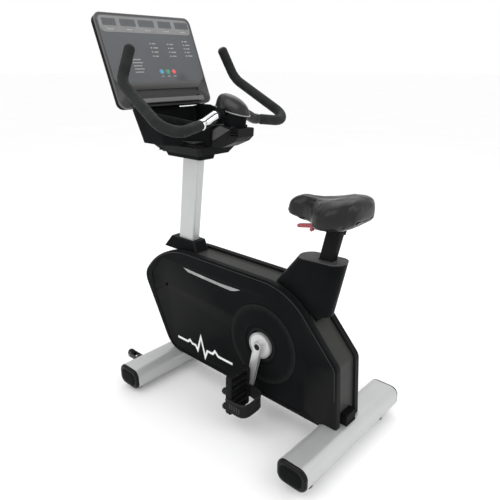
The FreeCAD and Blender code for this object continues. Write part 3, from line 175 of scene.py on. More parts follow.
def build_looks():
    """Every material, by name."""
    looks = {}

    def keep(look):
        looks[look.material.name] = look.material

    # Each look's lighter-edge step paints rubbed edges and an edge highlight together.
    keep(Look("satin_black", specular=0.018)
         .tint((0.0050, 0.0054, 0.0058), (0.0076, 0.0082, 0.0088))
         .gloss(0.34, 0.44).edge_wear_and_highlight(grey(0.022)).grain(1400, 0.16))
    keep(Look("spine_grey", specular=0.05).tint((0.030, 0.031, 0.027), (0.042, 0.043, 0.038))
         .gloss(0.30, 0.42).edge_wear_and_highlight(grey(0.045)).grain(1100, 0.14))
    keep(Look("matte_grey", specular=0.12).tint(grey(0.020), grey(0.031)).gloss(0.45, 0.58)
         .edge_wear_and_highlight(grey(0.07)).grain(900, 0.25))
    keep(Look("gloss_black", coat=0.04, specular=0.12).tint(grey(0.005), grey(0.008))
         .gloss(0.16, 0.26).edge_wear_and_highlight(grey(0.014)).grain(1600, 0.05))
    silver = Look("silver_paint", metal=0.35, coat=0.10, specular=0.3)
    silver.tint((0.355, 0.365, 0.37), (0.415, 0.425, 0.43), scale=5.0).gloss(0.30, 0.40)
    silver.edge_wear_and_highlight(grey(0.60), amount=0.5).bump(silver.cells(2600), 0.10, 0.0001)
    silver.grain(160, 0.04, 0.0006)
    keep(silver)
    keep(Look("black_paint", specular=0.012).tint(grey(0.005), grey(0.008)).gloss(0.28, 0.40)
         .edge_wear_and_highlight(grey(0.014)).grain(700, 0.12))
    leather = Look("leatherette", specular=0.16, coat=0.14)
    leather.tint(grey(0.008), grey(0.012), scale=12).gloss(0.30, 0.40, 60)
    leather.bump(leather.cells(520, "DISTANCE_TO_EDGE"), 0.22, 0.0006)
    leather.grain(1800, 0.2, 0.0002).edge_wear_and_highlight(grey(0.024))
    keep(leather)
    foam = Look("foam", specular=0.10)
    foam.tint((0.013, 0.014, 0.014), (0.022, 0.023, 0.023), scale=25).gloss(0.52, 0.68, 90)
    foam.bump(foam.cells(1500), 0.35, 0.0005).grain(500, 0.25, 0.0004)
    foam.edge_wear_and_highlight(grey(0.04))
    keep(foam)
    keep(Look("rubber", specular=0.10).tint(grey(0.008), grey(0.014)).gloss(0.6, 0.75)
         .edge_wear_and_highlight(grey(0.035)).grain(600, 0.3, 0.0003))
    # A darker copy of the chrome for the right sensors: painted shade on the same metal.
    keep(Look("chrome_painted_shade", metal=1.0, specular=0.5).tint(grey(0.030), grey(0.042))
         .gloss(0.24, 0.34, 80).edge_wear_and_highlight(grey(0.08)))
    keep(Look("pod_black", coat=0.14, specular=0.30).tint(grey(0.008), grey(0.012))
         .gloss(0.24, 0.34).edge_wear_and_highlight(grey(0.04)).grain(1600, 0.05))
    keep(Look("chrome", metal=1.0, specular=0.5).tint((0.70, 0.71, 0.73), (0.78, 0.79, 0.81))
         .gloss(0.07, 0.14).grain(300, 0.02, 0.0002))
    keep(Look("steel", metal=1.0, specular=0.5).tint(grey(0.42), grey(0.56), scale=20)
         .gloss(0.25, 0.38, 200, (1, 12, 1)).edge_wear_and_highlight(grey(0.7)).grain(400, 0.1, stretch=(1, 8, 1)))
    arm = Look("arm_silver", metal=0.55, coat=0.1, specular=0.3)
    arm.tint(grey(0.33), grey(0.42), scale=18).gloss(0.30, 0.42, 80)
    arm.edge_wear_and_highlight(grey(0.7)).grain(900, 0.12)
    keep(arm)
    keep(Look("iron", metal=0.8, specular=0.4).tint(grey(0.10), grey(0.17), scale=30)
         .gloss(0.45, 0.62).edge_wear_and_highlight(grey(0.4)).grain(350, 0.35, 0.0005))
    keep(Look("crimson", specular=0.3).tint((0.13, 0.010, 0.018), (0.18, 0.014, 0.026))
         .gloss(0.28, 0.40).edge_wear_and_highlight((0.35, 0.08, 0.09)).grain(900, 0.12))
    keep(Look("window", specular=0.35).tint((0.082, 0.088, 0.094), (0.100, 0.106, 0.112), scale=3)
         .gloss(0.14, 0.2).grain(1500, 0.02))
    keep(Look("bezel_grey", specular=0.25).tint((0.028, 0.027, 0.027), (0.037, 0.036, 0.036))
         .gloss(0.36, 0.46).edge_wear_and_highlight(grey(0.13)).grain(1200, 0.12))
    keep(Look("facet_grey", specular=0.2).tint(grey(0.040), grey(0.054), scale=14)
         .gloss(0.40, 0.50).edge_wear_and_highlight(grey(0.07)).grain(1100, 0.2))
    # A lighter grey for the ledge cap: a painted highlight.
    keep(Look("ledge_highlight_grey", specular=0.35).tint(grey(0.085), grey(0.115), scale=14)
         .gloss(0.34, 0.44).edge_wear_and_highlight(grey(0.2)).grain(1200, 0.12))
    for name, low, high in (("key_blue", (0.05, 0.30, 0.50), (0.08, 0.38, 0.60)),
                            ("key_green", (0.03, 0.30, 0.16), (0.05, 0.38, 0.22)),
                            ("key_red", (0.75, 0.06, 0.09), (0.85, 0.10, 0.13))):
        keep(Look(name, coat=0.4, specular=0.4).tint(low, high, scale=60).gloss(0.2, 0.3)
             .grain(1500, 0.06))
    keep(Look("print_white", specular=0.2).tint(grey(0.74), grey(0.84), scale=40)
         .gloss(0.4, 0.5).grain(1500, 0.06))
    keep(Look("print_pale", specular=0.2).tint(grey(0.20), grey(0.24), scale=20)
         .gloss(0.2, 0.3).grain(1500, 0.03))
    keep(Look("print_dark", specular=0.2).tint(grey(0.085), grey(0.105), scale=20)
         .gloss(0.15, 0.22).grain(1500, 0.03))
    keep(Look("print_soft", specular=0.2).tint(grey(0.30), grey(0.38), scale=40)
         .gloss(0.3, 0.4).grain(1500, 0.03))
    keep(Look("strip_silver", metal=0.6, specular=0.3).tint(grey(0.24), grey(0.36), scale=25)
         .gloss(0.25, 0.35, 50, (1, 1, 20)).grain(900, 0.06))
    return looks


NODE_LOOKS = {
    "front_stabilizer": "silver_paint", "rear_stabilizer": "silver_paint",
    "end_caps": "gloss_black", "front_feet": "rubber", "left_levelling_foot": "rubber",
    "right_levelling_foot": "rubber", "wheel_brackets": "matte_grey",
    "left_transport_wheel": "gloss_black", "right_transport_wheel": "gloss_black",
    "main_frame": "black_paint", "flywheel_axle": "steel", "console_mast": "silver_paint",
    "mast_boot": "satin_black", "left_side_cover": "satin_black",
    "right_side_cover": "satin_black", "spine_cover": "spine_grey",
    "crank_shrouds": "satin_black", "power_inlet": "gloss_black", "seat_tower": "satin_black",
    "tower_cap": "matte_grey", "post_bushing": "rubber", "seat_post": "black_paint",
    "saddle_bracket": "black_paint", "lever_pin": "steel", "height_lever": "crimson",
    "latch_rod": "steel", "saddle_cushion": "leatherette", "saddle_base": "satin_black",
    "crank_axle": "steel", "crank_bearings": "steel", "hub_discs": "arm_silver",
    "left_crank_arm": "arm_silver", "right_crank_arm": "arm_silver", "crank_bolts": "black_paint",
    "drive_pulley": "matte_grey", "left_pedal": "satin_black", "left_pedal_strap": "rubber",
    "right_pedal": "satin_black", "right_pedal_strap": "rubber", "pedal_axles": "steel",
    "flywheel": "iron", "flywheel_pulley": "arm_silver", "drive_belt": "rubber",
    "idler_bracket": "black_paint", "idler_pulley": "arm_silver", "magnet_brake": "black_paint",
    "console_bezel": "bezel_grey", "console_screen": "window", "blue_key": "key_blue",
    "green_key": "key_green", "red_key": "key_red", "console_shell": "satin_black",
    "accessory_tray": "satin_black", "stem_shroud": "satin_black",
    "handlebar_clamp": "black_paint", "clamp_cover": "gloss_black",
    "handlebar_tube": "black_paint", "foam_grips": "foam", "pulse_sensors": "chrome",
    "frame_screws": "steel",
}


def dress_frame(looks):
    """Give every CAD node its material."""
    for name, node in NODES.items():
        node.data.materials.clear()
        node.data.materials.append(looks[NODE_LOOKS[name]])


# ---------------------------------------------------------------- building pieces

def piece(name, points, faces, look, body="frame", smooth=True, crease=35):
    """A mesh object that rides on a body; faces meeting above the crease angle stay sharp."""
    mesh = bpy.data.meshes.new(name)
    mesh.from_pydata([tuple(p) for p in points], [], faces)
    work = bmesh.new()
    work.from_mesh(mesh)
    bmesh.ops.remove_doubles(work, verts=work.verts, dist=1e-6)
    bmesh.ops.recalc_face_normals(work, faces=work.faces)
    for edge in work.edges:
        edge.smooth = len(edge.link_faces) == 2 and edge.calc_face_angle(0) < math.radians(crease)
    work.to_mesh(mesh)
    work.free()
    for face in mesh.polygons:
        face.use_smooth = smooth
    mesh.materials.append(look)
    made = bpy.data.objects.new(name, mesh)
    bpy.context.collection.objects.link(made)
    if body:
        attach(made, body)
    return made


def skin(rings, closed=False, cap=True):
    """Faces that join rings of equal length, with flat ends unless the run is closed."""
    count = len(rings[0])
    points = [p for ring in rings for p in ring]
    faces = []
    spans = len(rings) if closed else len(rings) - 1
    for i in range(spans):
        a, b = i * count, (i + 1) % len(rings) * count
        for j in range(count):
            k = (j + 1) % count
            faces.append((a + j, a + k, b + k, b + j))
    if cap and not closed:
        faces.append(tuple(range(count - 1, -1, -1)))
        faces.append(tuple(range(len(points) - count, len(points))))
    return points, faces


def plate(name, outline, low, high, look, place=Matrix(), edge=0.0004, body="frame"):
    """A thin plate: outline is (y, z) pairs, low and high are x, in a frame given by place."""
    middle = Vector((sum(p[0] for p in outline), sum(p[1] for p in outline))) / len(outline)
    reach = max((Vector(p) - middle).length for p in outline)
    rings = []
    for x, inset in ((low, 0.0), (high - edge, 0.0), (high, edge)):
        ring = []
        for p in outline:
            flat = middle + (Vector(p) - middle) * (1 - inset / reach)
            ring.append(place @ Vector((x, flat.x, flat.y)))
        rings.append(ring)
    return piece(name, *skin(rings), look, body=body)


def rounded(y0, y1, z0, z1, radius, steps=5):
    """A rectangle's outline with round corners."""
    out = []
    for cy, cz, start in ((y1 - radius, z1 - radius, 0), (y0 + radius, z1 - radius, 90),
                          (y0 + radius, z0 + radius, 180), (y1 - radius, z0 + radius, 270)):
        for i in range(steps + 1):
            angle = math.radians(start + 90 * i / steps)
            out.append((cy + radius * math.cos(angle), cz + radius * math.sin(angle)))
    return out


def disc(y, z, radius, steps=28):
    """A circle's outline."""
    return [(y + radius * math.cos(t), z + radius * math.sin(t))
            for t in (2 * math.pi * i / steps for i in range(steps))]


def ring_steps(count):
    """Cosines and sines round a circle."""
    return [(math.cos(2 * math.pi * j / count), math.sin(2 * math.pi * j / count))
            for j in range(count)]


def smooth_path(corners, radii, steps=10):
    """Points along straight runs joined by round bends."""
    corners = [Vector(c) for c in corners]
    out = [corners[0]]
    for before, corner, after, radius in zip(corners, corners[1:], corners[2:], radii):
        back = (before - corner).normalized()
        on = (after - corner).normalized()
        half = back.angle(on) / 2
        reach = radius / math.tan(half)
        centre = corner + (back + on).normalized() * radius / math.sin(half)
        start = corner + back * reach - centre
        end = corner + on * reach - centre
        turn = start.rotation_difference(end)
        for i in range(steps + 1):
            out.append(centre + Matrix.Rotation(turn.angle * i / steps, 3, turn.axis) @ start)
    out.append(corners[-1])
    return out


def resample(path, gap):
    """The same path as evenly spaced points."""
    out = [path[0]]
    for a, b in zip(path, path[1:]):
        count = max(1, round((b - a).length / gap))
        out += [a.lerp(b, (i + 1) / count) for i in range(count)]
    return out


def sweep(path, radii, sides=28, squash=1.0):
    """Rings along a path with a radius at each point, carried without twist."""
    rings = []
    across = None
    for i, point in enumerate(path):
        ahead = (path[min(i + 1, len(path) - 1)] - path[max(i - 1, 0)]).normalized()
        if across is None:
            across = ahead.orthogonal().normalized()
        across = (across - ahead * across.dot(ahead)).normalized()
        other = ahead.cross(across)
        rings.append([point + across * math.cos(t) * radii[i]
                      + other * math.sin(t) * radii[i] * squash
                      for t in (2 * math.pi * j / sides for j in range(sides))])
    return rings


def lathe(profile, centre, axis=Vector((0, 1, 0)), sides=48):
    """Rings turned about an axis; profile is (distance along the axis, radius)."""
    across = axis.orthogonal().normalized()
    other = axis.cross(across)
    return [[centre + axis * along + (across * math.cos(t) + other * math.sin(t)) * radius
             for t in (2 * math.pi * j / sides for j in range(sides))]
            for along, radius in profile]


# ---------------------------------------------------------------- saddle

def saddle_shape(x):
    """Half width, underside and crown of the saddle at a distance from its nose."""
    table = [(0.230, 0.032, 0.803, 0.843), (0.236, 0.039, 0.799, 0.853),
             (0.250, 0.044, 0.797, 0.859), (0.290, 0.047, 0.793, 0.861),
             (0.330, 0.059, 0.791, 0.862), (0.358, 0.088, 0.790, 0.864),
             (0.382, 0.111, 0.790, 0.867), (0.405, 0.119, 0.791, 0.873),
             (0.432, 0.118, 0.793, 0.881), (0.457, 0.107, 0.797, 0.887),
             (0.478, 0.088, 0.803, 0.888), (0.494, 0.060, 0.811, 0.876)]
    for a, b in zip(table, table[1:]):
        if x <= b[0]:
            t = (x - a[0]) / (b[0] - a[0])
            t = t * t * (3 - 2 * t) * 0.5 + t * 0.5
            return [u + (v - u) * t for u, v in zip(a[1:], b[1:])]
    return table[-1][1:]


def saddle_rings(inset):
    """Cross-sections of the saddle, drawn in by inset."""
    rings = []
    steps = 46
    for i in range(steps + 1):
        x = SADDLE_START + SADDLE_LENGTH * (0.5 - 0.5 * math.cos(math.pi * i / steps))
        half, low, high = saddle_shape(x)
        half, low, high = half - inset, low + inset, high - inset
        ring = []
        for j in range(48):
            t = 2 * math.pi * j / 48
            c, s = math.cos(t), math.sin(t)
            wide = math.copysign(abs(c) ** (0.62 if s > 0 else 0.42), c)
            tall = math.copysign(abs(s) ** (0.80 if s > 0 else 0.42), s)
            middle = low + (high - low) * 0.36
            lift = (high - middle) if s > 0 else (middle - low)
            ring.append(Vector((x, half * wide, middle + lift * tall)))
        rings.append(ring)
    return rings


def inflate(soft, limit):
    """Blow the closed skin up like stuffed upholstery, moving no point further than limit."""
    before = [v.co.copy() for v in soft.data.vertices]
    cloth = soft.modifiers.new("stuffing", "CLOTH")
    cloth.settings.quality = 6
    cloth.settings.mass = 0.3
    cloth.settings.use_pressure = True
    cloth.settings.uniform_pressure_force = 4.0
    cloth.settings.tension_stiffness = 22
    cloth.settings.compression_stiffness = 22
    cloth.settings.shear_stiffness = 8
    cloth.settings.effector_weights.gravity = 0.0
    cloth.point_cache.frame_end = 20
    for moment in range(1, 21):
        bpy.context.scene.frame_set(moment)
    depsgraph = bpy.context.evaluated_depsgraph_get()
    after = [v.co.copy() for v in soft.evaluated_get(depsgraph).data.vertices]
    soft.modifiers.remove(cloth)
    bpy.context.scene.frame_set(1)
    for vertex, start, end in zip(soft.data.vertices, before, after):
        move = end - start
        if move.length > limit:
            move *= limit / move.length
        vertex.co = start + move


def refine(soft, kind, **settings):
    """Apply one modifier to a mesh."""
    made = soft.modifiers.new("step", kind)
    for name, value in settings.items():
        setattr(made, name, value)
    with bpy.context.temp_override(object=soft, active_object=soft, selected_objects=[soft]):
        bpy.ops.object.modifier_apply(modifier=made.name)


def groove(co):
    """Depth of the pressure-relief channel and of the panel seams at a point on the crown."""
    along = min(max((co.x - 0.285) / 0.03, 0.0), 1.0) * min(max((0.462 - co.x) / 0.03, 0.0), 1.0)
    channel = 0.0050 * math.exp(-(co.y / 0.011) ** 2)
    side = 0.40 * saddle_shape(co.x)[0] + 0.006
    seam = 0.0016 * math.exp(-((abs(co.y) - side) / 0.0022) ** 2)
    return along * (channel + seam)


def saddle(looks):
    """The stuffed cushion, swollen by cloth and then pressed into channel and seams."""
    cushion = piece("saddle_pad", *skin(saddle_rings(0.0025)), looks["leatherette"], body=None)
    refine(cushion, "REMESH", mode="VOXEL", voxel_size=SADDLE_VOXEL)
    inflate(cushion, 0.008)
    refine(cushion, "SUBSURF", levels=1)
    for vertex in cushion.data.vertices:
        co = vertex.co
        half, low, high = saddle_shape(co.x)
        if co.z > low + (high - low) * 0.6:
            co.z -= groove(co)
        co.z = max(co.z, low - 0.001)
    for face in cushion.data.polygons:
        face.use_smooth = True
    cushion.data.materials.clear()
    cushion.data.materials.append(looks["leatherette"])
    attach(cushion, "seat")
    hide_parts("saddle_cushion")


# ---------------------------------------------------------------- handlebar

def bar_path(way):
    """The bar's centre line on one side, from the tip to the clamp."""
    half = [Vector((x, -way * y, z)) for x, y, z in BAR_HALF]
    return resample(smooth_path(half, BAR_BENDS), 0.004)


def part_of(path, inner, outer):
    return [p for p in path if inner <= abs(p.y) <= outer]


def handlebar(looks):
    """Foam grips, tip plugs, split pulse sensors and the bare necks by the clamp."""
    for side, way in SIDES:
        path = bar_path(way)
        foam = [p for p in path if abs(p.y) > GRIP_INNER]
        start = (foam[0] - foam[1]).normalized()
        tip = [foam[0] + start * d for d in (0.011, 0.0105, 0.0095, 0.0075, 0.005, 0.002)]
        tip_radii = [0.004, 0.0085, 0.0125, 0.0152, 0.0170, 0.0180]
        radii = []
        for i, p in enumerate(foam):
            fade = min((len(foam) - 1 - i) / 3, 1.0)
            wrinkle = 0.00035 * math.sin(i * 1.9) * math.exp(-((abs(p.y) - 0.25) / 0.05) ** 2)
            radii.append(0.0150 + 0.0032 * fade ** 0.5 + wrinkle)
        grip = piece(side + "_grip", *skin(sweep(tip + foam, tip_radii + radii)), looks["foam"])
        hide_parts("foam_grips")
        plug = lathe([(-0.002, 0.0115), (0.0006, 0.0115), (0.0012, 0.0105), (0.0004, 0.0045),
                      (0.0008, 0.0025)], foam[0] + start * 0.0105, start, 32)
        piece(side + "_tip_plug", *skin(plug), looks["gloss_black"])
        sensor = part_of(path, SENSOR_INNER, GRIP_INNER - 0.002)
        for label, turn in (("upper", 0.0), ("lower", math.pi)):
            rings = []
            for i, ring in enumerate(sweep(sensor, [0.0180] * len(sensor), 56)):
                centre = sensor[i]
                edge = min(i, len(sensor) - 1 - i)
                grow = 0.90 + 0.10 * min(edge, 1)
                begin = round(turn / (2 * math.pi) * 56)
                arc = [ring[(begin + k) % 56] for k in range(1, 28)]
                outer = [centre + (p - centre) * grow for p in arc]
                inner = [centre + (p - centre) * 0.78 for p in reversed(arc)]
                rings.append(outer + inner)
            # The right sensors take the darker chrome copy: painted shade, the same metal as the
            # left ones.
            metal = looks["chrome" if side == "left" else "chrome_painted_shade"]
            shell = piece(f"{side}_sensor_{label}", *skin(rings), metal)
            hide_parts("pulse_sensors")
        for label, at in (("inner", SENSOR_INNER - 0.004), ("outer", GRIP_INNER - 0.001)):
            band = part_of(path, at - 0.005, at + 0.005)
            radii = [0.0135 if i in (0, len(band) - 1) else 0.0152 for i in range(len(band))]
            piece(f"{side}_sensor_{label}_ring", *skin(sweep(band, radii)), looks["rubber"])
        neck = part_of(path, 0.024, SENSOR_INNER - 0.006)
        radii = [0.0205 - 0.0050 * i / (len(neck) - 1) for i in range(len(neck))][::-1]
        piece(side + "_bar_neck", *skin(sweep(neck, radii)), looks["satin_black"])


def pod(looks):
    """The glossy oval cover over the handlebar clamp, with a brighter rim."""
    place = POD_PLACE
    rings = []
    for i in range(19):
        rise = math.pi / 2 * i / 18
        up = POD_HEIGHT * math.sin(rise)
        wide = max(math.cos(rise), 0.02) ** 0.8
        rings.append([place @ Vector((POD_HALF_LENGTH * wide * c
                                      - 0.020 * math.sin(rise) ** 2,
                                      POD_HALF_WIDTH * wide * s * (1 - 0.10 * c), up))
                      for c, s in ring_steps(64)])
    cover = piece("pod_cover", *skin(rings), looks["pod_black"])
    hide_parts("clamp_cover")
    rim = [place @ Vector((0.0745 * c, 0.0358 * s * (1 - 0.10 * c), -0.0005))
           for c, s in ring_steps(64)]
    piece("pod_rim", *skin(sweep(rim + rim[:1], [0.0021] * 65, 10)[:-1], closed=True),
          looks["strip_silver"])
    rings = []
    for drop, along, long, wide in ((-0.001, 0.004, 0.062, 0.0315), (-0.010, 0.008, 0.055, 0.029),
                                    (-0.024, 0.018, 0.044, 0.027), (-0.040, 0.026, 0.038, 0.026),
                                    (-0.062, 0.020, 0.036, 0.028)):
        rings.append([place @ Vector((along + long * c, wide * s, drop))
                      for c, s in ring_steps(48)])
    piece("pod_body", *skin(rings), looks["satin_black"])


def stem_facets(looks):
    """The lighter facets on the stem's sides, and the tray's ribbed floor and side socket."""
    outline = [(-0.143, 1.0095), (-0.092, 1.0015), (-0.013, 1.0435), (-0.060, 1.0525)]
    for side, way in SIDES:
        rings = [[Vector((x, way * y, z)) for x, z in outline] for y in (0.0376, 0.0388, 0.0392)]
        piece(side + "_stem_facet", *skin(rings), looks["facet_grey"])
    for i in range(8):
        x = -0.335 + 0.024 * i
        reach = 0.088 - 0.006 * i
        block(f"tray_rib_{i}", x, x + 0.008, -reach, reach, 0.949, 0.953, looks["rubber"],
              Matrix(), "frame", 0.0008)
    block("tray_socket", -0.232, -0.206, -0.060, -0.044, 0.990, 0.9985, looks["steel"], Matrix(),
          "frame", 0.0015)
    block("tray_shelf", -0.262, -0.150, -0.078, -0.030, 0.986, 0.991, looks["matte_grey"],
          Matrix(), "frame", 0.0012)


# ---------------------------------------------------------------- console

def console(looks):
    """The printed window, its keys' rings, a lighter cap on the ledge as a painted highlight, and
    the vents at the back.
    """
    def printed(name, outline, look, low=PRINT_LOW, high=PRINT_HIGH):
        plate(name, outline, low, high, looks[look], CONSOLE, edge=0.0001)

    printed("console_band", rounded(-0.205, 0.205, 0.271, 0.329, 0.018), "print_pale")
    spans = ((-0.192, -0.135), (-0.118, -0.051), (-0.039, 0.033), (0.052, 0.115), (0.133, 0.200))
    for i, (left, right) in enumerate(spans):
        printed(f"readout_{i}", rounded(left, right, 0.294, 0.320, 0.003), "window",
                0.0003, 0.0007)
        for k in range(3):
            y = left + (right - left) * (0.3 + 0.2 * k)
            printed(f"readout_{i}_mark_{k}", rounded(y - 0.002, y + 0.002, 0.301, 0.313, 0.001),
                    "print_dark", 0.0006, 0.0009)
        middle = (left + right) / 2
        printed(f"readout_{i}_label", rounded(middle - 0.014, middle + 0.014, 0.2795, 0.2835,
                                              0.0015), "print_soft", 0.0003, 0.0006)
    for column, (y, low, high, count) in enumerate(((0.002, 0.178, 0.241, 4),
                                                    (0.084, 0.179, 0.240, 4),
                                                    (0.163, 0.181, 0.252, 5))):
        for i in range(count):
            z = low + (high - low) * (i + 0.5) / count
            long = 0.012 + 0.004 * ((i + column) % 3)
            printed(f"legend_{column}_{i}", rounded(y - 0.004, y + long, z - 0.002, z + 0.002,
                                                    0.0015), "print_soft")
            printed(f"legend_dot_{column}_{i}", disc(y - 0.012, z, 0.0030), "print_soft")
    for i in range(5):
        z = 0.127 + 0.0115 * i
        printed(f"list_line_{i}", rounded(-0.112, -0.074 + 0.006 * (i % 2), z - 0.0018,
                                          z + 0.0018, 0.0012), "print_soft")
    for colour, y in (("blue", 0.007), ("green", 0.036), ("red", 0.065)):
        rings = [[CONSOLE @ Vector((x, y + r * math.cos(t), 0.127 + r * math.sin(t)))
                  for t in (2 * math.pi * j / 40 for j in range(40))]
                 for x, r in ((0.0, 0.0088), (0.0011, 0.0092), (0.0013, 0.0104), (0.0, 0.0112))]
        piece(colour + "_key_ring", *skin(rings, cap=False), looks["print_pale"])
        printed(colour + "_key_label", rounded(y - 0.007, y + 0.007, 0.1085, 0.1115, 0.001),
                "print_soft")
    # A lighter cap along the ledge: a painted highlight where the ledge catches the light.
    ledge = [(0.0035, 0.0085), (0.0150, 0.0090), (0.0166, 0.0110), (0.0166, 0.0240),
             (0.0150, 0.0262), (0.0035, 0.0262)]
    rings = [[CONSOLE @ Vector((x, y, z)) for x, z in ledge]
             for y in (-0.1652, -0.1640, 0.1640, 0.1652)]
    piece("ledge_highlight_cap", *skin(rings), looks["ledge_highlight_grey"])
    for i in range(12):
        z = 0.060 + 0.020 * i
        for way in (-1, 1):
            flat = rounded(way * 0.150 - 0.035, way * 0.150 + 0.035, z, z + 0.006, 0.0028)
            plate(f"shell_vent_{i}_{'left' if way < 0 else 'right'}", flat, -0.0366, -0.0352,
                  looks["rubber"], CONSOLE, edge=0.0003)


# ---------------------------------------------------------------- covers

def ribbon(path, width):
    """The outline of a stroke of even width along a zigzag."""
    path = [Vector(p) for p in path]
    sides = ([], [])
    for i, p in enumerate(path):
        a = (p - path[i - 1]).normalized() if i else None
        b = (path[i + 1] - p).normalized() if i < len(path) - 1 else None
        flow = ((a or b) + (b or a)).normalized()
        across = Vector((-flow.y, flow.x))
        lean = max(abs(across.dot(Vector((-(b or a).y, (b or a).x)))), 0.35)
        sides[0].append(p + across * width / 2 / lean)
        sides[1].append(p - across * width / 2 / lean)
    return sides


def decal(looks):
    """A plain pulse trace and a bright accent strip on each cover."""
    trace = [(-0.305, 0.165), (-0.243, 0.165), (-0.230, 0.177), (-0.216, 0.165), (-0.196, 0.165),
             (-0.184, 0.147), (-0.163, 0.215), (-0.140, 0.132), (-0.126, 0.165), (-0.096, 0.165),
             (-0.082, 0.182), (-0.064, 0.165), (0.014, 0.165)]
    for side, way in SIDES:
        upper, lower = ribbon(trace, TRACE_STROKE)
        rings = []
        for a, b in zip(upper, lower):
            rings.append([Vector((p.x, way * y, p.y)) for p, y in
                          ((a, PANEL_FACE - 0.0002), (a, PANEL_FACE + 0.0004),
                           (b, PANEL_FACE + 0.0004), (b, PANEL_FACE - 0.0002))])
        piece(side + "_pulse_trace", *skin(rings), looks["print_white"])
        strip = [(-0.249, 0.495), (-0.2405, 0.4905), (-0.223, 0.4825), (-0.145, 0.4790),
                 (-0.067, 0.4762), (0.010, 0.4740), (0.030, 0.4790), (0.058, 0.4900),
                 (0.010, 0.4888), (-0.0415, 0.4870), (-0.145, 0.4905)]
        rings = [[Vector((x, way * y, z)) for x, z in strip]
                 for y in (PANEL_FACE - 0.0002, PANEL_FACE + 0.0010, PANEL_FACE + 0.0013)]
        piece(side + "_accent_strip", *skin(rings), looks["strip_silver"])


def cover_edge_highlights(looks):
    """A painted highlight: a fine bright bead where each cover's face meets its rounded edge."""
    corners = [Vector((x, 0, z)) for x, z in
               ((-0.434, 0.247), (-0.513, 0.399), (-0.390, 0.561), (0.275, 0.561),
                (0.474, 0.339), (0.481, 0.217))]
    path = resample(smooth_path(corners, [0.060, 0.332, 0.248, 0.045], 24), 0.012)
    for side, way in SIDES:
        line = []
        for i, p in enumerate(path):
            ahead = (path[min(i + 1, len(path) - 1)] - path[max(i - 1, 0)]).normalized()
            line.append(p + Vector((ahead.z, 0, -ahead.x)) * 0.0070 + Vector((0, way * 0.0707, 0)))
        radii = [0.0009 if 0 < i < len(line) - 1 else 0.0003 for i in range(len(line))]
        # The lighter bead stands in for the highlight on the cover's edge fillet.
        piece(side + "_cover_edge_highlight", *skin(sweep(line, radii, 8)), looks["facet_grey"])


def ends(looks):
    """Raised ovals on the bars' end caps and rounded transport wheels with a light ring."""
    for bar, x, z, half in (("front", -0.349, 0.058, 0.302), ("rear", 0.472, 0.072, 0.292)):
        outline = rounded(x - 0.044, x + 0.044, z - 0.029, z + 0.029, 0.022, 8)
        for side, way in SIDES:
            rings = []
            for out, grow in ((-0.0010, 1.0), (0.0012, 0.985), (0.0022, 0.93), (0.0030, 0.70),
                              (0.0033, 0.30)):
                rings.append([Vector((x + (u - x) * grow, way * (half + out), z + (v - z) * grow))
                              for u, v in outline])
            piece(f"{side}_{bar}_cap_dome", *skin(rings), looks["satin_black"])
    tread = [(-0.0110, 0.0080), (-0.0108, 0.0130), (-0.0092, 0.0168), (-0.0060, 0.0195),
             (-0.0020, 0.0209), (0.0020, 0.0209), (0.0060, 0.0195), (0.0092, 0.0168),
             (0.0108, 0.0130), (0.0110, 0.0080)]
    for side, way in SIDES:
        centre = Vector((-0.463, way * 0.200, 0.076))
        wheel = piece(side + "_wheel_ball", *skin(lathe(tread, centre)), looks["gloss_black"],
                      body=side + "_wheel")
        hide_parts(side + "_transport_wheel")
        ring = [(0.0106, 0.0118), (0.0114, 0.0116), (0.0116, 0.0100), (0.0108, 0.0094)]
        for label, face in (("inner", -1), ("outer", 1)):
            rings = lathe(ring, centre, Vector((0, face, 0)), 32)
            piece(f"{side}_wheel_{label}_ring", *skin(rings), looks["strip_silver"],
                  body=side + "_wheel")


def crank_trim(looks):
    """Rims on the hub discs and dark sockets at the arms' tops."""
    for side, way in SIDES:
        out = Vector((0, way, 0))
        hub = [(0.0835, 0.0478), (0.0856, 0.0478), (0.0862, 0.0468), (0.0856, 0.0456),
               (0.0842, 0.0450), (0.0838, 0.0380)]
        rings = lathe(hub, Vector((CRANK.x, 0, CRANK.z)), out, 64)
        piece(side + "_hub_rim", *skin(rings, cap=False), looks["arm_silver"], body="crank")
        socket = [(0.0985, 0.0118), (0.0998, 0.0118), (0.1002, 0.0108), (0.0996, 0.0098),
                  (0.0992, 0.0040)]
        rings = lathe(socket, Vector((CRANK.x, 0, CRANK.z)), out, 32)
        piece(side + "_arm_socket", *skin(rings), looks["rubber"], body="crank")


# ---------------------------------------------------------------- pedals

def pedal_place(way):
    """A pedal's own frame: x towards its heel, y outwards, z up through the strap."""
    swing = Vector((way * math.sin(CRANK_LEAN), 0, way * math.cos(CRANK_LEAN))) * CRANK_LENGTH
    return (Matrix.Translation(CRANK + swing) @ Matrix.Rotation(PEDAL_TILT, 4, "Y")
            @ Matrix.Diagonal((1, way, 1, 1)))


def block(name, x0, x1, y0, y1, z0, z1, look, place, body, edge=0.0015):
    """A moulded bar with softened long edges."""
    outline = rounded(y0, y1, z0, z1, min(edge * 2, (y1 - y0) * 0.45, (z1 - z0) * 0.45), 4)
    rings = []
    for x, inset in ((x0, edge), (x0 + edge, 0), (x1 - edge, 0), (x1, edge)):
        cy, cz = (y0 + y1) / 2, (z0 + z1) / 2
        sy = 1 - inset / ((y1 - y0) / 2)
        sz = 1 - inset / ((z1 - z0) / 2)
        rings.append([place @ Vector((x, cy + (y - cy) * sy, cz + (z - cz) * sz))
                      for y, z in outline])
    return piece(name, *skin(rings), look, body=body)


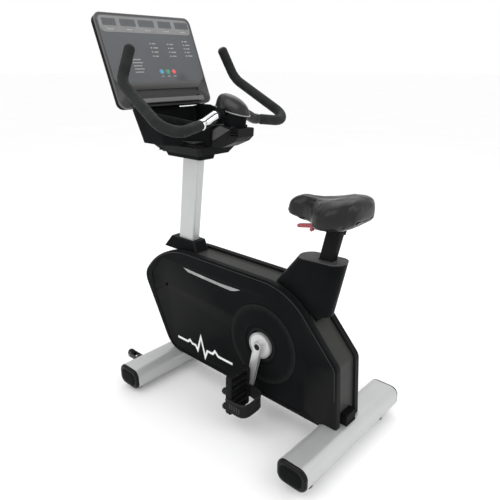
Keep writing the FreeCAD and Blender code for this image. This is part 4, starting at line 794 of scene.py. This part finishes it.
def pedals(looks):
    """Each pedal's cage, treads, barrel, studs and strap."""
    for side, way in SIDES:
        place = pedal_place(way)
        body = side + "_pedal"
        cage = looks["satin_black"]
        outer = block(side + "_cage_outer", -0.076, 0.075, 0.198, 0.2085, -0.0128, 0.0128, cage,
                      place, body, 0.004)
        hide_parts(side + "_pedal")
        block(side + "_cage_inner", -0.076, 0.075, 0.1055, 0.116, -0.0128, 0.0128, cage, place,
              body, 0.004)
        bars = (-0.0800, -0.0520, -0.0260, 0.0170, 0.0430, 0.0690)
        for i, x in enumerate(bars):
            block(f"{side}_tread_{i}", x, x + 0.009, 0.107, 0.207, -0.0122, 0.0122, cage, place,
                  body, 0.002)
        barrel = [(0.107, 0.0100), (0.110, 0.0122), (0.150, 0.0108), (0.157, 0.0104),
                  (0.164, 0.0108), (0.204, 0.0122), (0.2075, 0.0100), (0.2078, 0.0040)]
        rings = [[place @ p for p in ring] for ring in lathe(barrel, Vector(), sides=32)]
        piece(side + "_barrel", *skin(rings), cage, body=body)
        for i, x in enumerate(bar + 0.0045 for bar in bars):
            for k, y in enumerate((0.124, 0.141, 0.173, 0.190)):
                if i % 2 == k % 2:
                    for face in (-1, 1):
                        stud = [(0.0110, 0.0022), (0.0132, 0.0018), (0.0136, 0.0010)]
                        ring = [[place @ Vector((p.x, p.y, face * p.z)) for p in turn] for turn in
                                lathe(stud, Vector((x, y, 0)), Vector((0, 0, 1)), 10)]
                        piece(f"{side}_stud_{i}_{k}_{'top' if face > 0 else 'sole'}",
                              *skin(ring), looks["matte_grey"], body=body)
        strap(looks, side, place, body)


def strap(looks, side, place, body):
    """The moulded strap: an arch with ribbed edges and slots, and the knobs under the sole."""
    arch = [Vector((0, y, z)) for y, z in
            ((0.2095, -0.008), (0.2098, 0.020), (0.2095, 0.050), (0.205, 0.066), (0.195, 0.075),
             (0.180, 0.0785), (0.157, 0.0790), (0.134, 0.0785), (0.119, 0.075), (0.109, 0.066),
             (0.1045, 0.050), (0.1042, 0.020), (0.1045, -0.008))]
    path = resample(arch, 0.004)
    rings = []
    for i, p in enumerate(path):
        ahead = (path[min(i + 1, len(path) - 1)] - path[max(i - 1, 0)]).normalized()
        out = Vector((0, ahead.z, -ahead.y))
        out = -out if out.dot(p - Vector((0, 0.157, 0.03))) < 0 else out
        share = i / (len(path) - 1)
        front = 0.009 - 0.014 * share + 0.002 * math.cos(2 * math.pi * share)
        rear = 0.062 - 0.010 * share - 0.002 * math.cos(2 * math.pi * share)
        profile = [(front, 0.0004), (front + 0.0015, 0.0032), (front + 0.006, 0.0034),
                   (front + 0.0075, 0.0022), (rear - 0.0075, 0.0022), (rear - 0.006, 0.0034),
                   (rear - 0.0015, 0.0032), (rear, 0.0004), (rear - 0.001, -0.0004),
                   (front + 0.001, -0.0004)]
        rings.append([place @ (p + Vector((x, 0, 0)) + out * t) for x, t in profile])
    band = piece(side + "_strap", *skin(rings), looks["rubber"], body=body)
    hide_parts(side + "_pedal_strap")
    for i in range(5):
        z = 0.012 + 0.011 * i
        block(f"{side}_strap_slot_{i}", 0.022, 0.044, 0.2112, 0.2132, z, z + 0.0045,
              looks["matte_grey"], place, body, 0.0006)
    for i, (x, y) in enumerate(((0.000, 0.192), (0.066, 0.190))):
        knob = [(0.0110, 0.0100), (0.0200, 0.0125), (0.0300, 0.0130), (0.0350, 0.0110),
                (0.0370, 0.0050)]
        rings = [[place @ p for p in ring]
                 for ring in lathe(knob, Vector((x, y, 0)), Vector((0, 0, -1)), 24)]
        piece(f"{side}_sole_knob_{i}", *skin(rings), looks["gloss_black"], body=body)


# ---------------------------------------------------------------- stage

def stage():
    """Floor, studio light and the camera."""
    floor = bpy.data.meshes.new("floor")
    reach = 60.0
    floor.from_pydata([(-reach, -reach, 0), (reach, -reach, 0), (reach, reach, 0),
                       (-reach, reach, 0)], [], [(0, 1, 2, 3)])
    plane = bpy.data.objects.new("floor", floor)
    bpy.context.collection.objects.link(plane)
    pale = Look("pale_floor").tint(grey(0.975), grey(0.99), scale=1.0)
    pale.gloss(0.8, 0.9).grain(40, 0.02)
    floor.materials.append(pale.material)
    world = bpy.data.worlds.new("studio")
    world.use_nodes = True
    world.node_tree.nodes["Background"].inputs["Color"].default_value = (1, 1, 1, 1)
    world.node_tree.nodes["Background"].inputs["Strength"].default_value = 1.0
    bpy.context.scene.world = world
    for name, place, size, power in (("key_light", (-0.6, -2.2, 3.2), 2.2, 26),
                                     ("rear_light", (2.6, 0.4, 2.4), 1.8, 18),
                                     ("top_light", (-0.8, 1.6, 3.4), 2.4, 22)):
        light = bpy.data.lights.new(name, "AREA")
        light.size = size
        light.energy = power
        lamp = bpy.data.objects.new(name, light)
        lamp.location = place
        aim = Vector((0.0, 0.0, 0.5)) - Vector(place)
        lamp.rotation_euler = aim.to_track_quat("-Z", "Y").to_euler()
        bpy.context.collection.objects.link(lamp)
    lens = bpy.data.cameras.new("camera")
    lens.lens = CAMERA_LENS
    lens.sensor_width = 36.0
    lens.clip_end = 200.0
    camera = bpy.data.objects.new("camera", lens)
    camera.location = CAMERA_PLACE
    camera.rotation_euler = Euler([math.radians(turn) for turn in CAMERA_TURN])
    bpy.context.collection.objects.link(camera)
    bpy.context.scene.camera = camera
    bpy.context.scene.view_settings.view_transform = "Standard"


def build():
    looks = build_looks()
    dress_frame(looks)
    saddle(looks)
    handlebar(looks)
    pod(looks)
    stem_facets(looks)
    console(looks)
    decal(looks)
    cover_edge_highlights(looks)
    ends(looks)
    crank_trim(looks)
    pedals(looks)
    stage()


build()
